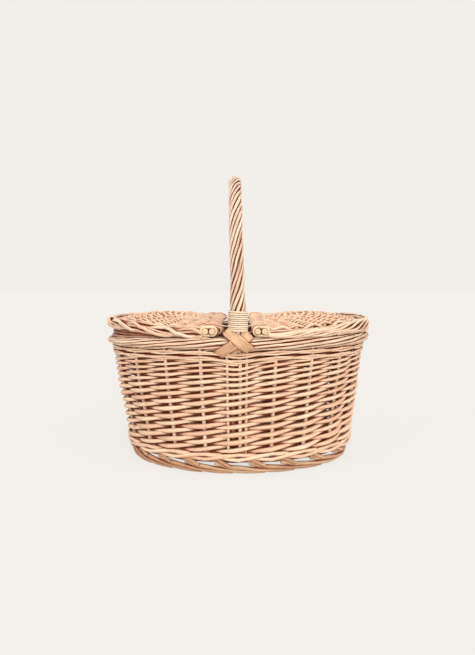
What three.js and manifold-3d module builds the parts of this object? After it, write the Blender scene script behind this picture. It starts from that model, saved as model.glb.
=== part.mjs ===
// Oval willow picnic basket with two hinged lids and one fixed roped handle.
// Millimetres. +Z is up, +X runs along the basket's length, the front faces -Y.
// The origin is the middle of the footprint, on the surface that the foot ring stands on.

import * as THREE from 'three';
import { mergeVertices } from 'three/addons/utils/BufferGeometryUtils.js';
import Module from 'manifold-3d';

const wasm = await Module();
wasm.setup();

// Body: an oval that opens out upwards, measured to the line of the stakes in mid wall
const HALF_LENGTH_AT_GROUND = 163;
const HALF_WIDTH_AT_GROUND = 114;
const LENGTH_FLARE = 0.152;
const WIDTH_FLARE = 0.145;
const WALL = 12;

// Heights of the bands that are woven one on another
const FOOT_RING_HEIGHT = 14;
const FOOT_HEIGHT = 20;
const UPSETT_HEIGHT = 29;
const SIDE_HEIGHT = 109;
const TOP_WALE_HEIGHT = 13;
const BORDER_HEIGHT = 17;
const FOOT_RING_WIDTH = 9.5;
const FOOT_RING_EDGE = 2.5;
const BORDER_WIDTH = 19.5;
const BORDER_OVERHANG = 11;
const BORDER_TOP_SLOPE = 5.5;
const BORDER_UNDER_SLOPE = 3;
const WALE_BULGE = 1.2;
const WALE_EDGE = 3;

// Stakes
const STAKE_COUNT = 20;
const RING_STEPS = 2 * STAKE_COUNT;
const STAKE_RADIUS = 2.25;
const STAKE_SIDES = 6;
const FOOT_STAKE_RADIUS = 2.3;
const FOOT_STAKE_LEAN = 24;
const BESIDE_HANDLE = 4.5;

// How far a channel for a stake or stick runs on past its ends
const CHANNEL_RUN_ON = 4;

// Side weave: rows from bottom to top, how thin the top row is beside the lowest, and how far the
// wall reaches out from the stake line on a stroke, between two strokes and between two stakes
const SIDE_ROWS = 24;
const TOP_ROW_SHARE = 0.5;
const ROW_TAPER = 2.2;
const STROKE_REACH = 7.5;
const BETWEEN_STROKES = 3.9;
const BETWEEN_STAKES = 3.4;

// Base
const BASE_THICKNESS = 12;
const LONG_STICK_RADIUS = 2.5;
const LONG_STICK_PITCH = 6;
const LONG_STICK_COUNT = 3;
const CROSS_STICK_RADIUS = 4.25;
const CROSS_STICK_PITCH = 45;
const CROSS_STICK_COUNT = 5;
const BASE_STICK_SHORTER = 1.5;

// Handle
const HANDLE_TOP = 426;
const BOW_RADIUS = 5.5;
const BOW_FOOT_RADIUS = 2.4;
const BOW_NECK_RADIUS = 3.2;
const BOW_NECK_DROP = 6;
const BOW_BEND_DROP = 2;
const ROPE_RADIUS = 9.7;
const ROPE_FOOT_RADIUS = 11;
const ROPE_FLARE_HEIGHT = 75;
const WRAP_TURNS = 9;
const WRAP_PITCH = 2.75;
const WRAP_SKEIN = 2.1;
const BINDING_WIDTH = 12;
const BINDING_THICKNESS = 1.4;
const BINDING_REACH = 27;
const BINDING_LIFT = 0.95;
const BINDING_BEDDING = 0.7;
const BINDING_TUCK = 4;

// Crossbar and hinge loops
const CROSSBAR_RADIUS = 3.5;
const CROSSBAR_PAST_STAKES = 5.5;
const LOOP_THICKNESS = 1.1;
const LOOP_WIDTH = 9;
const LOOP_FROM_MIDDLE = 85;

// Lids
const LEFT_HINGE_X = 34;
const RIGHT_HINGE_X = 26;
const LID_HALF_LENGTH = 202;
const LID_HALF_WIDTH = 150;
const RIM_WIDTH = 10.5;
const RIM_HEIGHT = 19.5;
const RIM_END_HEIGHT = 15.5;
const RIM_RISE_LENGTH = 35;
const RIM_UNDER_EDGE = 2;
const RIM_TOP_EDGE = 2.75;
const LID_STICK_RADIUS = 3.5;
const HINGE_STICK_SHORTER = 3.5;
const SECOND_STICK_SHORTER = 5;
const LID_WEAVER = 4.1;
const LID_THICKNESS = 11.7;
const LID_CROWN = 13;
const FAN_STICK_RADIUS = 2.75;
const FAN_ANGLES = [-40, 0, 40];

// Relief of the lids: strokes over every stick of the fan, heights over the middle of the sticks,
// and the distances from the fan's middle and from the hinge where it starts and is full
const FAN_PITCH = 20;
const LID_STROKES = 14;
const LID_BETWEEN_STROKES = 3.4;
const LID_BETWEEN_STICKS = 2.6;
const LID_RELIEF_FROM = 20;
const LID_FULL_RELIEF = 70;
const HINGE_RELIEF_FROM = 4;
const HINGE_FULL_RELIEF = 18;

// Room left between pieces that touch on the real basket, and round the ones that turn
const SEAT_GAP = 0.3;
const TURNING_GAP = 0.35;

// Places that follow from the sizes above
const UPSETT_Z = FOOT_HEIGHT;
const SIDE_Z = UPSETT_Z + UPSETT_HEIGHT;
const TOP_WALE_Z = SIDE_Z + SIDE_HEIGHT;
const BORDER_Z = TOP_WALE_Z + TOP_WALE_HEIGHT;
const BORDER_TOP = BORDER_Z + BORDER_HEIGHT;
const CROSSBAR_Z = BORDER_TOP + SEAT_GAP + CROSSBAR_RADIUS;
const CROSSBAR_X = BOW_RADIUS + SEAT_GAP + CROSSBAR_RADIUS;
const ROPE_START = BORDER_TOP + 2 * CROSSBAR_RADIUS + 2 * SEAT_GAP;
const BARREL_RADIUS = LID_STICK_RADIUS + LID_WEAVER;
const LID_STICK_PITCH = 2 * LID_STICK_RADIUS + LOOP_THICKNESS + 2 * TURNING_GAP;
const HINGE_Z = BORDER_TOP + SEAT_GAP + BARREL_RADIUS;
const BASE_MIDDLE_Z = FOOT_HEIGHT + SEAT_GAP + BASE_THICKNESS / 2;

const stakeHalfLength = (z) => HALF_LENGTH_AT_GROUND + LENGTH_FLARE * z;
const stakeHalfWidth = (z) => HALF_WIDTH_AT_GROUND + WIDTH_FLARE * z;
const HANDLE_Y = stakeHalfWidth(BORDER_TOP);

// A point on the oval of the stakes at height z, moved outwards by offset
function ovalPoint(angle, z, offset = 0) {
  const a = stakeHalfLength(z);
  const b = stakeHalfWidth(z);
  const normal = new THREE.Vector2(Math.cos(angle) / a, Math.sin(angle) / b).normalize();
  return new THREE.Vector3(
    a * Math.cos(angle) + offset * normal.x,
    b * Math.sin(angle) + offset * normal.y,
    z,
  );
}

// Angles that lie at equal lengths along the oval, starting at the front middle
const FINE_STEPS = 2000;
const ARC_LENGTHS = [0];
for (let i = 1; i <= FINE_STEPS; i += 1) {
  const from = ovalPoint(fineAngle(i - 1), SIDE_Z);
  const to = ovalPoint(fineAngle(i), SIDE_Z);
  ARC_LENGTHS.push(ARC_LENGTHS[i - 1] + from.distanceTo(to));
}
const GIRTH = ARC_LENGTHS[FINE_STEPS];

function fineAngle(step) {
  return -Math.PI / 2 + (2 * Math.PI * step) / FINE_STEPS;
}

function angleAtArc(length) {
  const wrapped = ((length % GIRTH) + GIRTH) % GIRTH;
  let low = 0;
  let high = FINE_STEPS;
  while (high - low > 1) {
    const middle = Math.floor((low + high) / 2);
    if (ARC_LENGTHS[middle] <= wrapped) {
      low = middle;
    } else {
      high = middle;
    }
  }
  const share = (wrapped - ARC_LENGTHS[low]) / (ARC_LENGTHS[high] - ARC_LENGTHS[low]);
  return fineAngle(low + share);
}

// A closed skin over rings of points: a loop of rings, or a run of them with an end cap on each side
function loft(rings, { loop = false } = {}) {
  const count = rings[0].length;
  const positions = rings.flat().flatMap((p) => [p.x, p.y, p.z]);
  const faces = [];
  const spans = loop ? rings.length : rings.length - 1;
  for (let r = 0; r < spans; r += 1) {
    const next = (r + 1) % rings.length;
    for (let k = 0; k < count; k += 1) {
      const k2 = (k + 1) % count;
      const a = r * count + k;
      const b = r * count + k2;
      const c = next * count + k2;
      const d = next * count + k;
      faces.push(a, b, c, a, c, d);
    }
  }
  if (!loop) {
    const last = (rings.length - 1) * count;
    for (let k = 1; k < count - 1; k += 1) {
      faces.push(0, k + 1, k);
      faces.push(last, last + k, last + k + 1);
    }
  }
  return skin(positions, faces);
}

// A closed skin over rings of unlike point counts, in which every point has its place round the
// ring from 0 to 1: neighbouring rings are joined in the order of those places
function zippedLoft(rings) {
  const positions = rings.flat().flatMap(({ point }) => [point.x, point.y, point.z]);
  const same = (a, b) => [0, 1, 2].every((i) => positions[3 * a + i] === positions[3 * b + i]);
  const faces = [];
  const addFace = (a, b, c) => {
    if (!same(a, b) && !same(b, c) && !same(a, c)) faces.push(a, b, c);
  };
  let first = 0;
  for (let r = 0; r < rings.length - 1; r += 1) {
    const [here, there] = [rings[r], rings[r + 1]];
    const start = first + here.length;
    const place = (ring, i) => (i < ring.length ? ring[i].place : 1);
    let [i, j] = [0, 0];
    while (i < here.length || j < there.length) {
      const a = first + (i % here.length);
      const b = start + (j % there.length);
      if (i === here.length || (j < there.length && place(there, j + 1) <= place(here, i + 1))) {
        addFace(a, start + ((j + 1) % there.length), b);
        j += 1;
      } else {
        addFace(a, first + ((i + 1) % here.length), b);
        i += 1;
      }
    }
    first = start;
  }
  for (let k = 1; k < rings[0].length - 1; k += 1) addFace(0, k + 1, k);
  for (let k = 1; k < rings.at(-1).length - 1; k += 1) addFace(first, first + k, first + k + 1);
  return skin(positions, faces);
}

function skin(positions, faces) {
  const geometry = new THREE.BufferGeometry();
  geometry.setAttribute('position', new THREE.Float32BufferAttribute(positions, 3));
  geometry.setIndex(faces);
  return facingOut(geometry);
}

function facingOut(geometry) {
  const position = geometry.getAttribute('position');
  const index = geometry.getIndex();
  const [a, b, c] = [new THREE.Vector3(), new THREE.Vector3(), new THREE.Vector3()];
  let volume = 0;
  for (let i = 0; i < index.count; i += 3) {
    a.fromBufferAttribute(position, index.getX(i));
    b.fromBufferAttribute(position, index.getX(i + 1));
    c.fromBufferAttribute(position, index.getX(i + 2));
    volume += a.dot(b.clone().cross(c));
  }
  if (volume < 0) index.array.reverse();
  return geometry;
}

// Solids for cutting and joining
function solid(geometry) {
  const bare = geometry.clone();
  bare.deleteAttribute('normal');
  bare.deleteAttribute('uv');
  const merged = mergeVertices(bare, 1e-4);
  return new wasm.Manifold(new wasm.Mesh({
    numProp: 3,
    vertProperties: new Float32Array(merged.getAttribute('position').array),
    triVerts: new Uint32Array(merged.getIndex().array),
  }));
}

function geometryOf(manifold) {
  const mesh = manifold.getMesh();
  const geometry = new THREE.BufferGeometry();
  geometry.setAttribute('position', new THREE.BufferAttribute(mesh.vertProperties, 3));
  geometry.setIndex(new THREE.BufferAttribute(mesh.triVerts, 1));
  return geometry;
}

function cut(geometry, tools) {
  const left = tools.reduce((rest, tool) => rest.subtract(solid(tool)), solid(geometry));
  return geometryOf(left);
}

function join(pieces) {
  const whole = pieces.slice(1).reduce((sum, piece) => sum.add(solid(piece)), solid(pieces[0]));
  return geometryOf(whole);
}

// A straight round rod between two points
function rod(from, to, radius, sides = 8) {
  const geometry = new THREE.CylinderGeometry(radius, radius, from.distanceTo(to), sides);
  const along = to.clone().sub(from).normalize();
  const turn = new THREE.Quaternion().setFromUnitVectors(new THREE.Vector3(0, 1, 0), along);
  const middle = from.clone().add(to).multiplyScalar(0.5);
  return geometry.applyQuaternion(turn).translate(middle.x, middle.y, middle.z);
}

// A round tube along a run of points, with a radius for each point
function tube(points, radii, sides) {
  const rings = points.map((point, i) => {
    const before = points[Math.max(i - 1, 0)];
    const after = points[Math.min(i + 1, points.length - 1)];
    return { point, along: after.clone().sub(before).normalize() };
  });
  const startsAlongX = Math.abs(rings[0].along.x) > 0.9;
  let across = startsAlongX ? new THREE.Vector3(0, 1, 0) : new THREE.Vector3(1, 0, 0);
  return loft(rings.map(({ point, along }, i) => {
    across = across.clone().addScaledVector(along, -across.dot(along)).normalize();
    const up = along.clone().cross(across);
    return Array.from({ length: sides }, (_, k) => {
      const turn = (2 * Math.PI * (k + 0.5)) / sides;
      return point.clone()
        .addScaledVector(across, radii[i] * Math.cos(turn))
        .addScaledVector(up, radii[i] * Math.sin(turn));
    });
  }));
}

// An oval band round the basket. Its section is a list of [offset from the stake line, height],
// and another section may be given for the rings half way between two stakes
function ovalBand(section, sectionBetween = section) {
  const rings = Array.from({ length: RING_STEPS }, (_, step) => {
    const angle = angleAtArc((GIRTH * step) / RING_STEPS);
    const points = step % 2 === 0 ? section : sectionBetween;
    return points.map(([offset, z]) => ovalPoint(angle, z, offset));
  });
  return loft(rings, { loop: true });
}

// Sections of the bands, as [offset from the stake line, height], bottom edge first
function waleSection(bottom, top) {
  const out = WALL / 2;
  return [
    [-out, bottom], [out, bottom], [out + WALE_BULGE, bottom + WALE_EDGE],
    [out + WALE_BULGE, top - WALE_EDGE], [out, top], [-out, top],
  ];
}

const BORDER_INNER = BORDER_OVERHANG - BORDER_WIDTH;
const BORDER_WIDEST_Z = BORDER_Z + 0.55 * BORDER_HEIGHT;
const BORDER_SECTION = [
  [BORDER_INNER + BORDER_UNDER_SLOPE, BORDER_Z],
  [BORDER_OVERHANG - BORDER_UNDER_SLOPE, BORDER_Z],
  [BORDER_OVERHANG, BORDER_WIDEST_Z],
  [BORDER_OVERHANG - BORDER_TOP_SLOPE, BORDER_TOP],
  [BORDER_INNER + BORDER_TOP_SLOPE, BORDER_TOP],
  [BORDER_INNER, BORDER_WIDEST_Z],
];

// Stakes stand at equal spacing; the two at the handle stand just beside its foot
const stakeAngles = Array.from({ length: STAKE_COUNT }, (_, k) => {
  const besideHandle = k % (STAKE_COUNT / 2) === 0;
  const front = k === 0 ? BESIDE_HANDLE : -BESIDE_HANDLE;
  return angleAtArc((GIRTH * k) / STAKE_COUNT + (besideHandle ? front : 0));
});

function stake(angle, clearance = 0) {
  const runOn = clearance ? CHANNEL_RUN_ON : 0;
  const foot = ovalPoint(angle, UPSETT_Z + SEAT_GAP - runOn);
  const head = ovalPoint(angle, BORDER_Z - SEAT_GAP + runOn);
  return rod(foot, head, STAKE_RADIUS + clearance, STAKE_SIDES);
}
const stakeChannels = stakeAngles.map((angle) => stake(angle, SEAT_GAP));

// Handle bow: one bent rod whose thinned feet run down inside the wall beside the middle stakes
const ARCH_RADIUS = HANDLE_Y;
const ARCH_CENTRE_Z = HANDLE_TOP - ROPE_RADIUS - ARCH_RADIUS;
const ARCH_STEPS = 20;

function handlePoints(startZ) {
  const straightSteps = 4;
  const points = [];
  for (let i = 0; i < straightSteps; i += 1) {
    const z = startZ + ((ARCH_CENTRE_Z - startZ) * i) / straightSteps;
    points.push(new THREE.Vector3(0, -HANDLE_Y, z));
  }
  for (let i = 0; i <= ARCH_STEPS; i += 1) {
    const turn = Math.PI - (Math.PI * i) / ARCH_STEPS;
    const y = ARCH_RADIUS * Math.cos(turn);
    points.push(new THREE.Vector3(0, y, ARCH_CENTRE_Z + ARCH_RADIUS * Math.sin(turn)));
  }
  for (let i = straightSteps - 1; i >= 0; i -= 1) {
    points.push(points[i].clone().setY(HANDLE_Y));
  }
  return points;
}

function bow(clearance = 0) {
  const runOn = clearance ? CHANNEL_RUN_ON : 0;
  const foot = (side) => [
    [SIDE_Z + SEAT_GAP - runOn, -BESIDE_HANDLE, BOW_FOOT_RADIUS],
    [BORDER_Z - BOW_NECK_DROP, -BESIDE_HANDLE, BOW_NECK_RADIUS],
    [BORDER_TOP - BOW_BEND_DROP, 0, BOW_RADIUS],
  ].map(([z, x, radius]) => ({ point: new THREE.Vector3(x, side * stakeHalfWidth(z), z), radius }));
  const arch = handlePoints(BORDER_TOP + 1).map((point) => ({ point, radius: BOW_RADIUS }));
  const stations = [...foot(-1), ...arch, ...foot(1).reverse()];
  return tube(stations.map((s) => s.point), stations.map((s) => s.radius + clearance), 8);
}
const bowChannel = bow(SEAT_GAP + 0.1);

// The roping round the bow, thicker at its feet
function handleRope() {
  const points = handlePoints(ROPE_START);
  const radii = points.map(({ z }) => {
    const share = (z - ROPE_START) / ROPE_FLARE_HEIGHT;
    const slimmed = THREE.MathUtils.smoothstep(share, 0.35, 1);
    return THREE.MathUtils.lerp(ROPE_FOOT_RADIUS, ROPE_RADIUS, slimmed);
  });
  return cut(tube(points, radii, 10), [bowChannel]);
}

// Skein wound round each foot of the roping: one unbroken tube with straight ends
function footWrap(side) {
  const stepsPerTurn = 20;
  const radius = ROPE_FOOT_RADIUS + SEAT_GAP + WRAP_SKEIN / 2;
  const startZ = ROPE_START + SEAT_GAP + WRAP_SKEIN / 2;
  const points = [];
  for (let i = 0; i <= WRAP_TURNS * stepsPerTurn; i += 1) {
    const turn = (2 * Math.PI * i) / stepsPerTurn;
    const z = startZ + (WRAP_PITCH * i) / stepsPerTurn;
    points.push(new THREE.Vector3(radius * Math.cos(turn), radius * Math.sin(turn), z));
  }
  const firstStep = points[0].clone().sub(points[1]).normalize();
  const lastStep = points.at(-1).clone().sub(points.at(-2)).normalize();
  points.unshift(points[0].clone().addScaledVector(firstStep, WRAP_SKEIN));
  points.push(points.at(-1).clone().addScaledVector(lastStep, WRAP_SKEIN));
  let leastGap = Infinity;
  for (let i = 0; i < points.length; i += 1) {
    for (let j = i + stepsPerTurn / 2; j < points.length; j += 1) {
      leastGap = Math.min(leastGap, points[i].distanceTo(points[j]) - WRAP_SKEIN);
    }
  }
  console.log(`foot wrap: ${WRAP_TURNS} turns, least gap to itself ${leastGap.toFixed(2)} mm`);
  const seated = points.map((p) => new THREE.Vector3(p.x, side * (HANDLE_Y + p.y), p.z));
  return tube(seated, seated.map(() => WRAP_SKEIN / 2), 5);
}

// Two flat strips crossed over the border below the handle's foot, from side to crossbar end
const borderFace = [
  [BORDER_Z - BINDING_TUCK, WALL / 2 + WALE_BULGE],
  ...BORDER_SECTION.slice(1, 4).map(([offset, z]) => [z, Math.max(offset, CROSSBAR_PAST_STAKES)]),
  [CROSSBAR_Z + CROSSBAR_RADIUS, Math.max(BORDER_SECTION[3][0], CROSSBAR_PAST_STAKES)],
];

function faceOffset(z) {
  const lowest = borderFace[0];
  const highest = borderFace.at(-1);
  const level = THREE.MathUtils.clamp(z, lowest[0] + 1e-6, highest[0]);
  const above = borderFace.findIndex(([height]) => height >= level);
  const [[z0, offset0], [z1, offset1]] = [borderFace[above - 1], borderFace[above]];
  return THREE.MathUtils.mapLinear(level, z0, z1, offset0, offset1);
}

function facePoint(x, z, lift) {
  const a = stakeHalfLength(z);
  const level = Math.min(z, BORDER_TOP);
  const y = (stakeHalfWidth(level) + faceOffset(z) + lift) * Math.sqrt(1 - (x / a) ** 2);
  return new THREE.Vector3(x, -y, z);
}

function bindingStrip(lean, over) {
  const low = new THREE.Vector2(-lean * BINDING_REACH, BORDER_Z - 1.5);
  const highZ = CROSSBAR_Z + CROSSBAR_RADIUS - BINDING_WIDTH / 2;
  const high = new THREE.Vector2(lean * (CROSSBAR_X + CROSSBAR_RADIUS), highZ);
  const along = high.clone().sub(low).normalize();
  const across = new THREE.Vector2(-along.y, along.x).multiplyScalar(BINDING_WIDTH / 2);
  const steps = 12;
  const shares = [-1, -0.5, 0, 0.5, 1];
  const rings = [];
  for (let i = 0; i <= steps; i += 1) {
    const centre = low.clone().lerp(high, i / steps);
    const humped = over * Math.max(0, 1 - (centre.x / (BINDING_WIDTH * 1.1)) ** 2);
    const lift = BINDING_LIFT + humped * (BINDING_THICKNESS - BINDING_BEDDING);
    const place = (share, height) => {
      const spot = centre.clone().addScaledVector(across, share);
      return facePoint(spot.x, spot.y, height);
    };
    const inner = shares.map((share) => place(share, lift));
    const outer = shares.map((share) => place(share, lift + BINDING_THICKNESS));
    rings.push([...inner, ...outer.reverse()]);
  }
  return loft(rings);
}

function crossBinding(side) {
  const both = join([bindingStrip(1, 0), bindingStrip(-1, 1)]);
  if (side < 0) return both;
  return both.rotateZ(Math.PI);
}

// A flat loop of skein round the crossbar rod and a lid's inner stick
function beltOutline(from, fromRadius, to, toRadius) {
  const steps = 7;
  const direction = Math.atan2(to.y - from.y, to.x - from.x);
  const open = Math.acos((fromRadius - toRadius) / from.distanceTo(to));
  const points = [];
  for (const [centre, radius, start, end] of [
    [to, toRadius, direction - open, direction + open],
    [from, fromRadius, direction + open, direction + 2 * Math.PI - open],
  ]) {
    for (let i = 0; i <= steps; i += 1) {
      const turn = THREE.MathUtils.lerp(start, end, i / steps);
      const offset = new THREE.Vector2(radius * Math.cos(turn), radius * Math.sin(turn));
      points.push(offset.add(centre));
    }
  }
  return points;
}

function hingeLoop(side, hingeX, y) {
  const bar = new THREE.Vector2(side * CROSSBAR_X, CROSSBAR_Z);
  const stick = new THREE.Vector2(side * hingeX, HINGE_Z);
  const barHole = CROSSBAR_RADIUS + TURNING_GAP;
  const stickHole = LID_STICK_RADIUS + TURNING_GAP;
  const outside = beltOutline(bar, barHole + LOOP_THICKNESS, stick, stickHole + LOOP_THICKNESS);
  const shape = new THREE.Shape(outside);
  shape.holes.push(new THREE.Path(beltOutline(bar, barHole, stick, stickHole)));
  const band = new THREE.ExtrudeGeometry(shape, { depth: LOOP_WIDTH, bevelEnabled: false });
  return band.rotateX(Math.PI / 2).translate(0, y + LOOP_WIDTH / 2, 0);
}

// Lids: two sticks along the hinge, a fan of sticks, the woven panel and its rim
const RIM_Z = BORDER_TOP + SEAT_GAP;
const RIM_LINE = { a: LID_HALF_LENGTH - RIM_WIDTH / 2, b: LID_HALF_WIDTH - RIM_WIDTH / 2 };
const PANEL_LINE = {
  a: LID_HALF_LENGTH - RIM_WIDTH - 2 * SEAT_GAP,
  b: LID_HALF_WIDTH - RIM_WIDTH - 2 * SEAT_GAP,
};

function lidStick(side, x, halfLength, radius = LID_STICK_RADIUS) {
  const end = (y) => new THREE.Vector3(side * x, y, HINGE_Z);
  return rod(end(-halfLength), end(halfLength), radius, 12);
}

// A ray of the fan from the middle of the second stick: its direction and reach to the panel's edge
function fanRay(hingeX, degrees) {
  const turn = THREE.MathUtils.degToRad(degrees);
  const centreX = hingeX + LID_STICK_PITCH;
  const direction = new THREE.Vector2(Math.cos(turn), Math.sin(turn));
  const { a, b } = PANEL_LINE;
  const qa = (direction.x / a) ** 2 + (direction.y / b) ** 2;
  const qb = (2 * centreX * direction.x) / (a * a);
  const qc = (centreX / a) ** 2 - 1;
  const edgeReach = (-qb + Math.sqrt(qb * qb - 4 * qa * qc)) / (2 * qa);
  return { centreX, direction, edgeReach };
}

function fanStick(side, hingeX, degrees, clearance = 0) {
  const { centreX, direction, edgeReach } = fanRay(hingeX, degrees);
  const startReach = degrees === 0 ? LID_STICK_RADIUS + 1.5 : 16;
  const endReach = edgeReach + (clearance ? 5 : -3);
  const place = (reach) => new THREE.Vector3(
    side * (centreX + reach * direction.x),
    reach * direction.y,
    HINGE_Z,
  );
  return rod(place(startReach - clearance), place(endReach), FAN_STICK_RADIUS + clearance);
}

// Height of the panel's top over the middle of its sticks, at a reach along a ray of the fan
function lidTop(hingeX, ray, reach, relief) {
  const { a, b } = PANEL_LINE;
  const x = ray.centreX + reach * ray.direction.x;
  const y = reach * ray.direction.y;
  const alongLid = (x - hingeX) / (a - hingeX);
  const halfWidth = b * Math.sqrt(Math.max(1 - (x / a) ** 2, 1e-9));
  const acrossLid = Math.min(Math.abs(y) / halfWidth, 1);
  const crown = LID_CROWN * Math.sin(Math.PI * alongLid) * Math.cos((Math.PI / 2) * acrossLid);
  const fromHinge = x - ray.centreX;
  const open = THREE.MathUtils.smoothstep(reach, LID_RELIEF_FROM, LID_FULL_RELIEF)
    * THREE.MathUtils.smoothstep(fromHinge, HINGE_RELIEF_FROM, HINGE_FULL_RELIEF);
  return THREE.MathUtils.lerp(LID_THICKNESS / 2, relief, open) + crown;
}

// The woven fan: over each stick every second weaver shows as a stroke, and the strokes of
// neighbouring sticks lie between each other
function lidFan(side, hingeX) {
  const rows = 2 * LID_STROKES;
  const rayCount = 180 / (FAN_PITCH / 2);
  const rings = [];
  for (let k = 0; k <= rayCount; k += 1) {
    const ray = fanRay(hingeX, -90 + (k * FAN_PITCH) / 2);
    const overStick = k % 2 === 1;
    const atEdge = k === 0 || k === rayCount;
    const strokeRows = Math.floor(k / 2) % 2;
    const place = (share, level) => {
      const reach = share * ray.edgeReach;
      return new THREE.Vector3(
        side * (ray.centreX + reach * ray.direction.x),
        reach * ray.direction.y,
        HINGE_Z + level,
      );
    };
    const top = (share, relief) => ({
      point: place(share, lidTop(hingeX, ray, share * ray.edgeReach, relief)),
      place: share / 2,
    });
    const points = [top(0, 0)];
    for (let row = 1; row < rows && !atEdge; row += 1) {
      const relief = row % 2 === strokeRows ? LID_THICKNESS / 2 : LID_BETWEEN_STROKES;
      if (overStick) points.push(top(row / rows, relief));
      else if (row % 2 === 1) points.push(top((row + 0.5) / rows, LID_BETWEEN_STICKS));
    }
    points.push(top(1, atEdge ? LID_THICKNESS / 2 : LID_BETWEEN_STROKES));
    points.push({ point: place(1, -LID_THICKNESS / 2), place: 0.6 });
    points.push({ point: place(0, -LID_THICKNESS / 2), place: 0.8 });
    rings.push(points);
  }
  return zippedLoft(rings);
}

function lidPanel(side, hingeX) {
  const { a, b } = PANEL_LINE;
  const halfWidthAt = (x) => b * Math.sqrt(1 - (x / a) ** 2);
  const stripEnd = hingeX + LID_STICK_PITCH + LID_STICK_RADIUS;
  const stripLength = 2 * halfWidthAt(stripEnd);
  const strip = new THREE.BoxGeometry(stripEnd - hingeX, stripLength, LID_THICKNESS);
  strip.translate(side * (stripEnd + hingeX) / 2, 0, HINGE_Z);
  const barrel = lidStick(side, hingeX, halfWidthAt(hingeX), BARREL_RADIUS);
  const notches = [-1, 1].map((end) => {
    const outerX = hingeX + LID_STICK_RADIUS + 2 * TURNING_GAP + LOOP_THICKNESS;
    const innerX = hingeX - BARREL_RADIUS - 1;
    const box = new THREE.BoxGeometry(outerX - innerX, LOOP_WIDTH + 2, 4 * BARREL_RADIUS);
    return box.translate(side * (outerX + innerX) / 2, end * LOOP_FROM_MIDDLE, HINGE_Z);
  });
  return cut(join([lidFan(side, hingeX), strip, barrel]), [
    lidStick(side, hingeX, LID_HALF_WIDTH, LID_STICK_RADIUS + SEAT_GAP),
    lidStick(side, hingeX + LID_STICK_PITCH, LID_HALF_WIDTH, LID_STICK_RADIUS + SEAT_GAP),
    ...FAN_ANGLES.map((degrees) => fanStick(side, hingeX, degrees, SEAT_GAP)),
    ...notches,
  ]);
}

function lidRim(side, hingeX) {
  const { a, b } = RIM_LINE;
  const endX = hingeX + LID_STICK_PITCH + LID_STICK_RADIUS + 3 * SEAT_GAP;
  const endAngle = Math.acos(endX / a);
  const steps = 24;
  const half = RIM_WIDTH / 2;
  const rings = [];
  for (let i = 0; i <= steps; i += 1) {
    const angle = THREE.MathUtils.lerp(-endAngle, endAngle, i / steps);
    const centre = new THREE.Vector2(a * Math.cos(angle), b * Math.sin(angle));
    const normal = new THREE.Vector2(Math.cos(angle) / a, Math.sin(angle) / b).normalize();
    const rise = Math.min((centre.x - endX) / RIM_RISE_LENGTH, 1);
    const top = RIM_Z + THREE.MathUtils.lerp(RIM_END_HEIGHT, RIM_HEIGHT, rise);
    const [under, over] = [RIM_UNDER_EDGE, RIM_TOP_EDGE];
    const section = [
      [-half, RIM_Z + under], [under - half, RIM_Z], [half - under, RIM_Z], [half, RIM_Z + under],
      [half, top - over], [half - over, top], [over - half, top], [-half, top - over],
    ];
    rings.push(section.map(([offset, z]) => new THREE.Vector3(
      side * (centre.x + offset * normal.x),
      centre.y + offset * normal.y,
      z,
    )));
  }
  return loft(rings);
}

// Base: an oval woven disc with its cross sticks slit and its long sticks pushed through them
const BASE_HALF_LENGTH = stakeHalfLength(UPSETT_Z) - WALL / 2 - SEAT_GAP;
const BASE_HALF_WIDTH = stakeHalfWidth(UPSETT_Z) - WALL / 2 - SEAT_GAP;
const middleOf = (i, count, pitch) => (i - (count - 1) / 2) * pitch;

function longStick(i, clearance = 0) {
  const y = middleOf(i, LONG_STICK_COUNT, LONG_STICK_PITCH);
  const reach = BASE_HALF_LENGTH * Math.sqrt(1 - (y / BASE_HALF_WIDTH) ** 2);
  const end = reach + (clearance ? CHANNEL_RUN_ON : -BASE_STICK_SHORTER);
  const place = (x) => new THREE.Vector3(x, y, BASE_MIDDLE_Z);
  return rod(place(-end), place(end), LONG_STICK_RADIUS + clearance);
}

function crossStick(i, clearance = 0) {
  const x = middleOf(i, CROSS_STICK_COUNT, CROSS_STICK_PITCH);
  const reach = BASE_HALF_WIDTH * Math.sqrt(1 - (x / BASE_HALF_LENGTH) ** 2);
  const end = reach + (clearance ? CHANNEL_RUN_ON : -BASE_STICK_SHORTER);
  const place = (y) => new THREE.Vector3(x, y, BASE_MIDDLE_Z);
  const whole = rod(place(-end), place(end), CROSS_STICK_RADIUS + clearance);
  if (clearance) return whole;
  const slitWidth = LONG_STICK_COUNT * LONG_STICK_PITCH + 2 * SEAT_GAP;
  const slitHeight = 2 * (LONG_STICK_RADIUS + SEAT_GAP);
  const slit = new THREE.BoxGeometry(3 * CROSS_STICK_RADIUS, slitWidth, slitHeight);
  return cut(whole, [slit.translate(x, 0, BASE_MIDDLE_Z)]);
}

function baseWeave() {
  const edge = Array.from({ length: RING_STEPS }, (_, step) => {
    return ovalPoint(angleAtArc((GIRTH * step) / RING_STEPS), UPSETT_Z, -WALL / 2 - SEAT_GAP);
  });
  const outline = new THREE.Shape(edge.map((p) => new THREE.Vector2(p.x, p.y)));
  const disc = new THREE.ExtrudeGeometry(outline, { depth: BASE_THICKNESS, bevelEnabled: false });
  disc.translate(0, 0, BASE_MIDDLE_Z - BASE_THICKNESS / 2);
  const sticks = [];
  for (let i = 0; i < LONG_STICK_COUNT; i += 1) sticks.push(longStick(i, SEAT_GAP));
  for (let i = 0; i < CROSS_STICK_COUNT; i += 1) sticks.push(crossStick(i, SEAT_GAP));
  return cut(disc, sticks);
}

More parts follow.
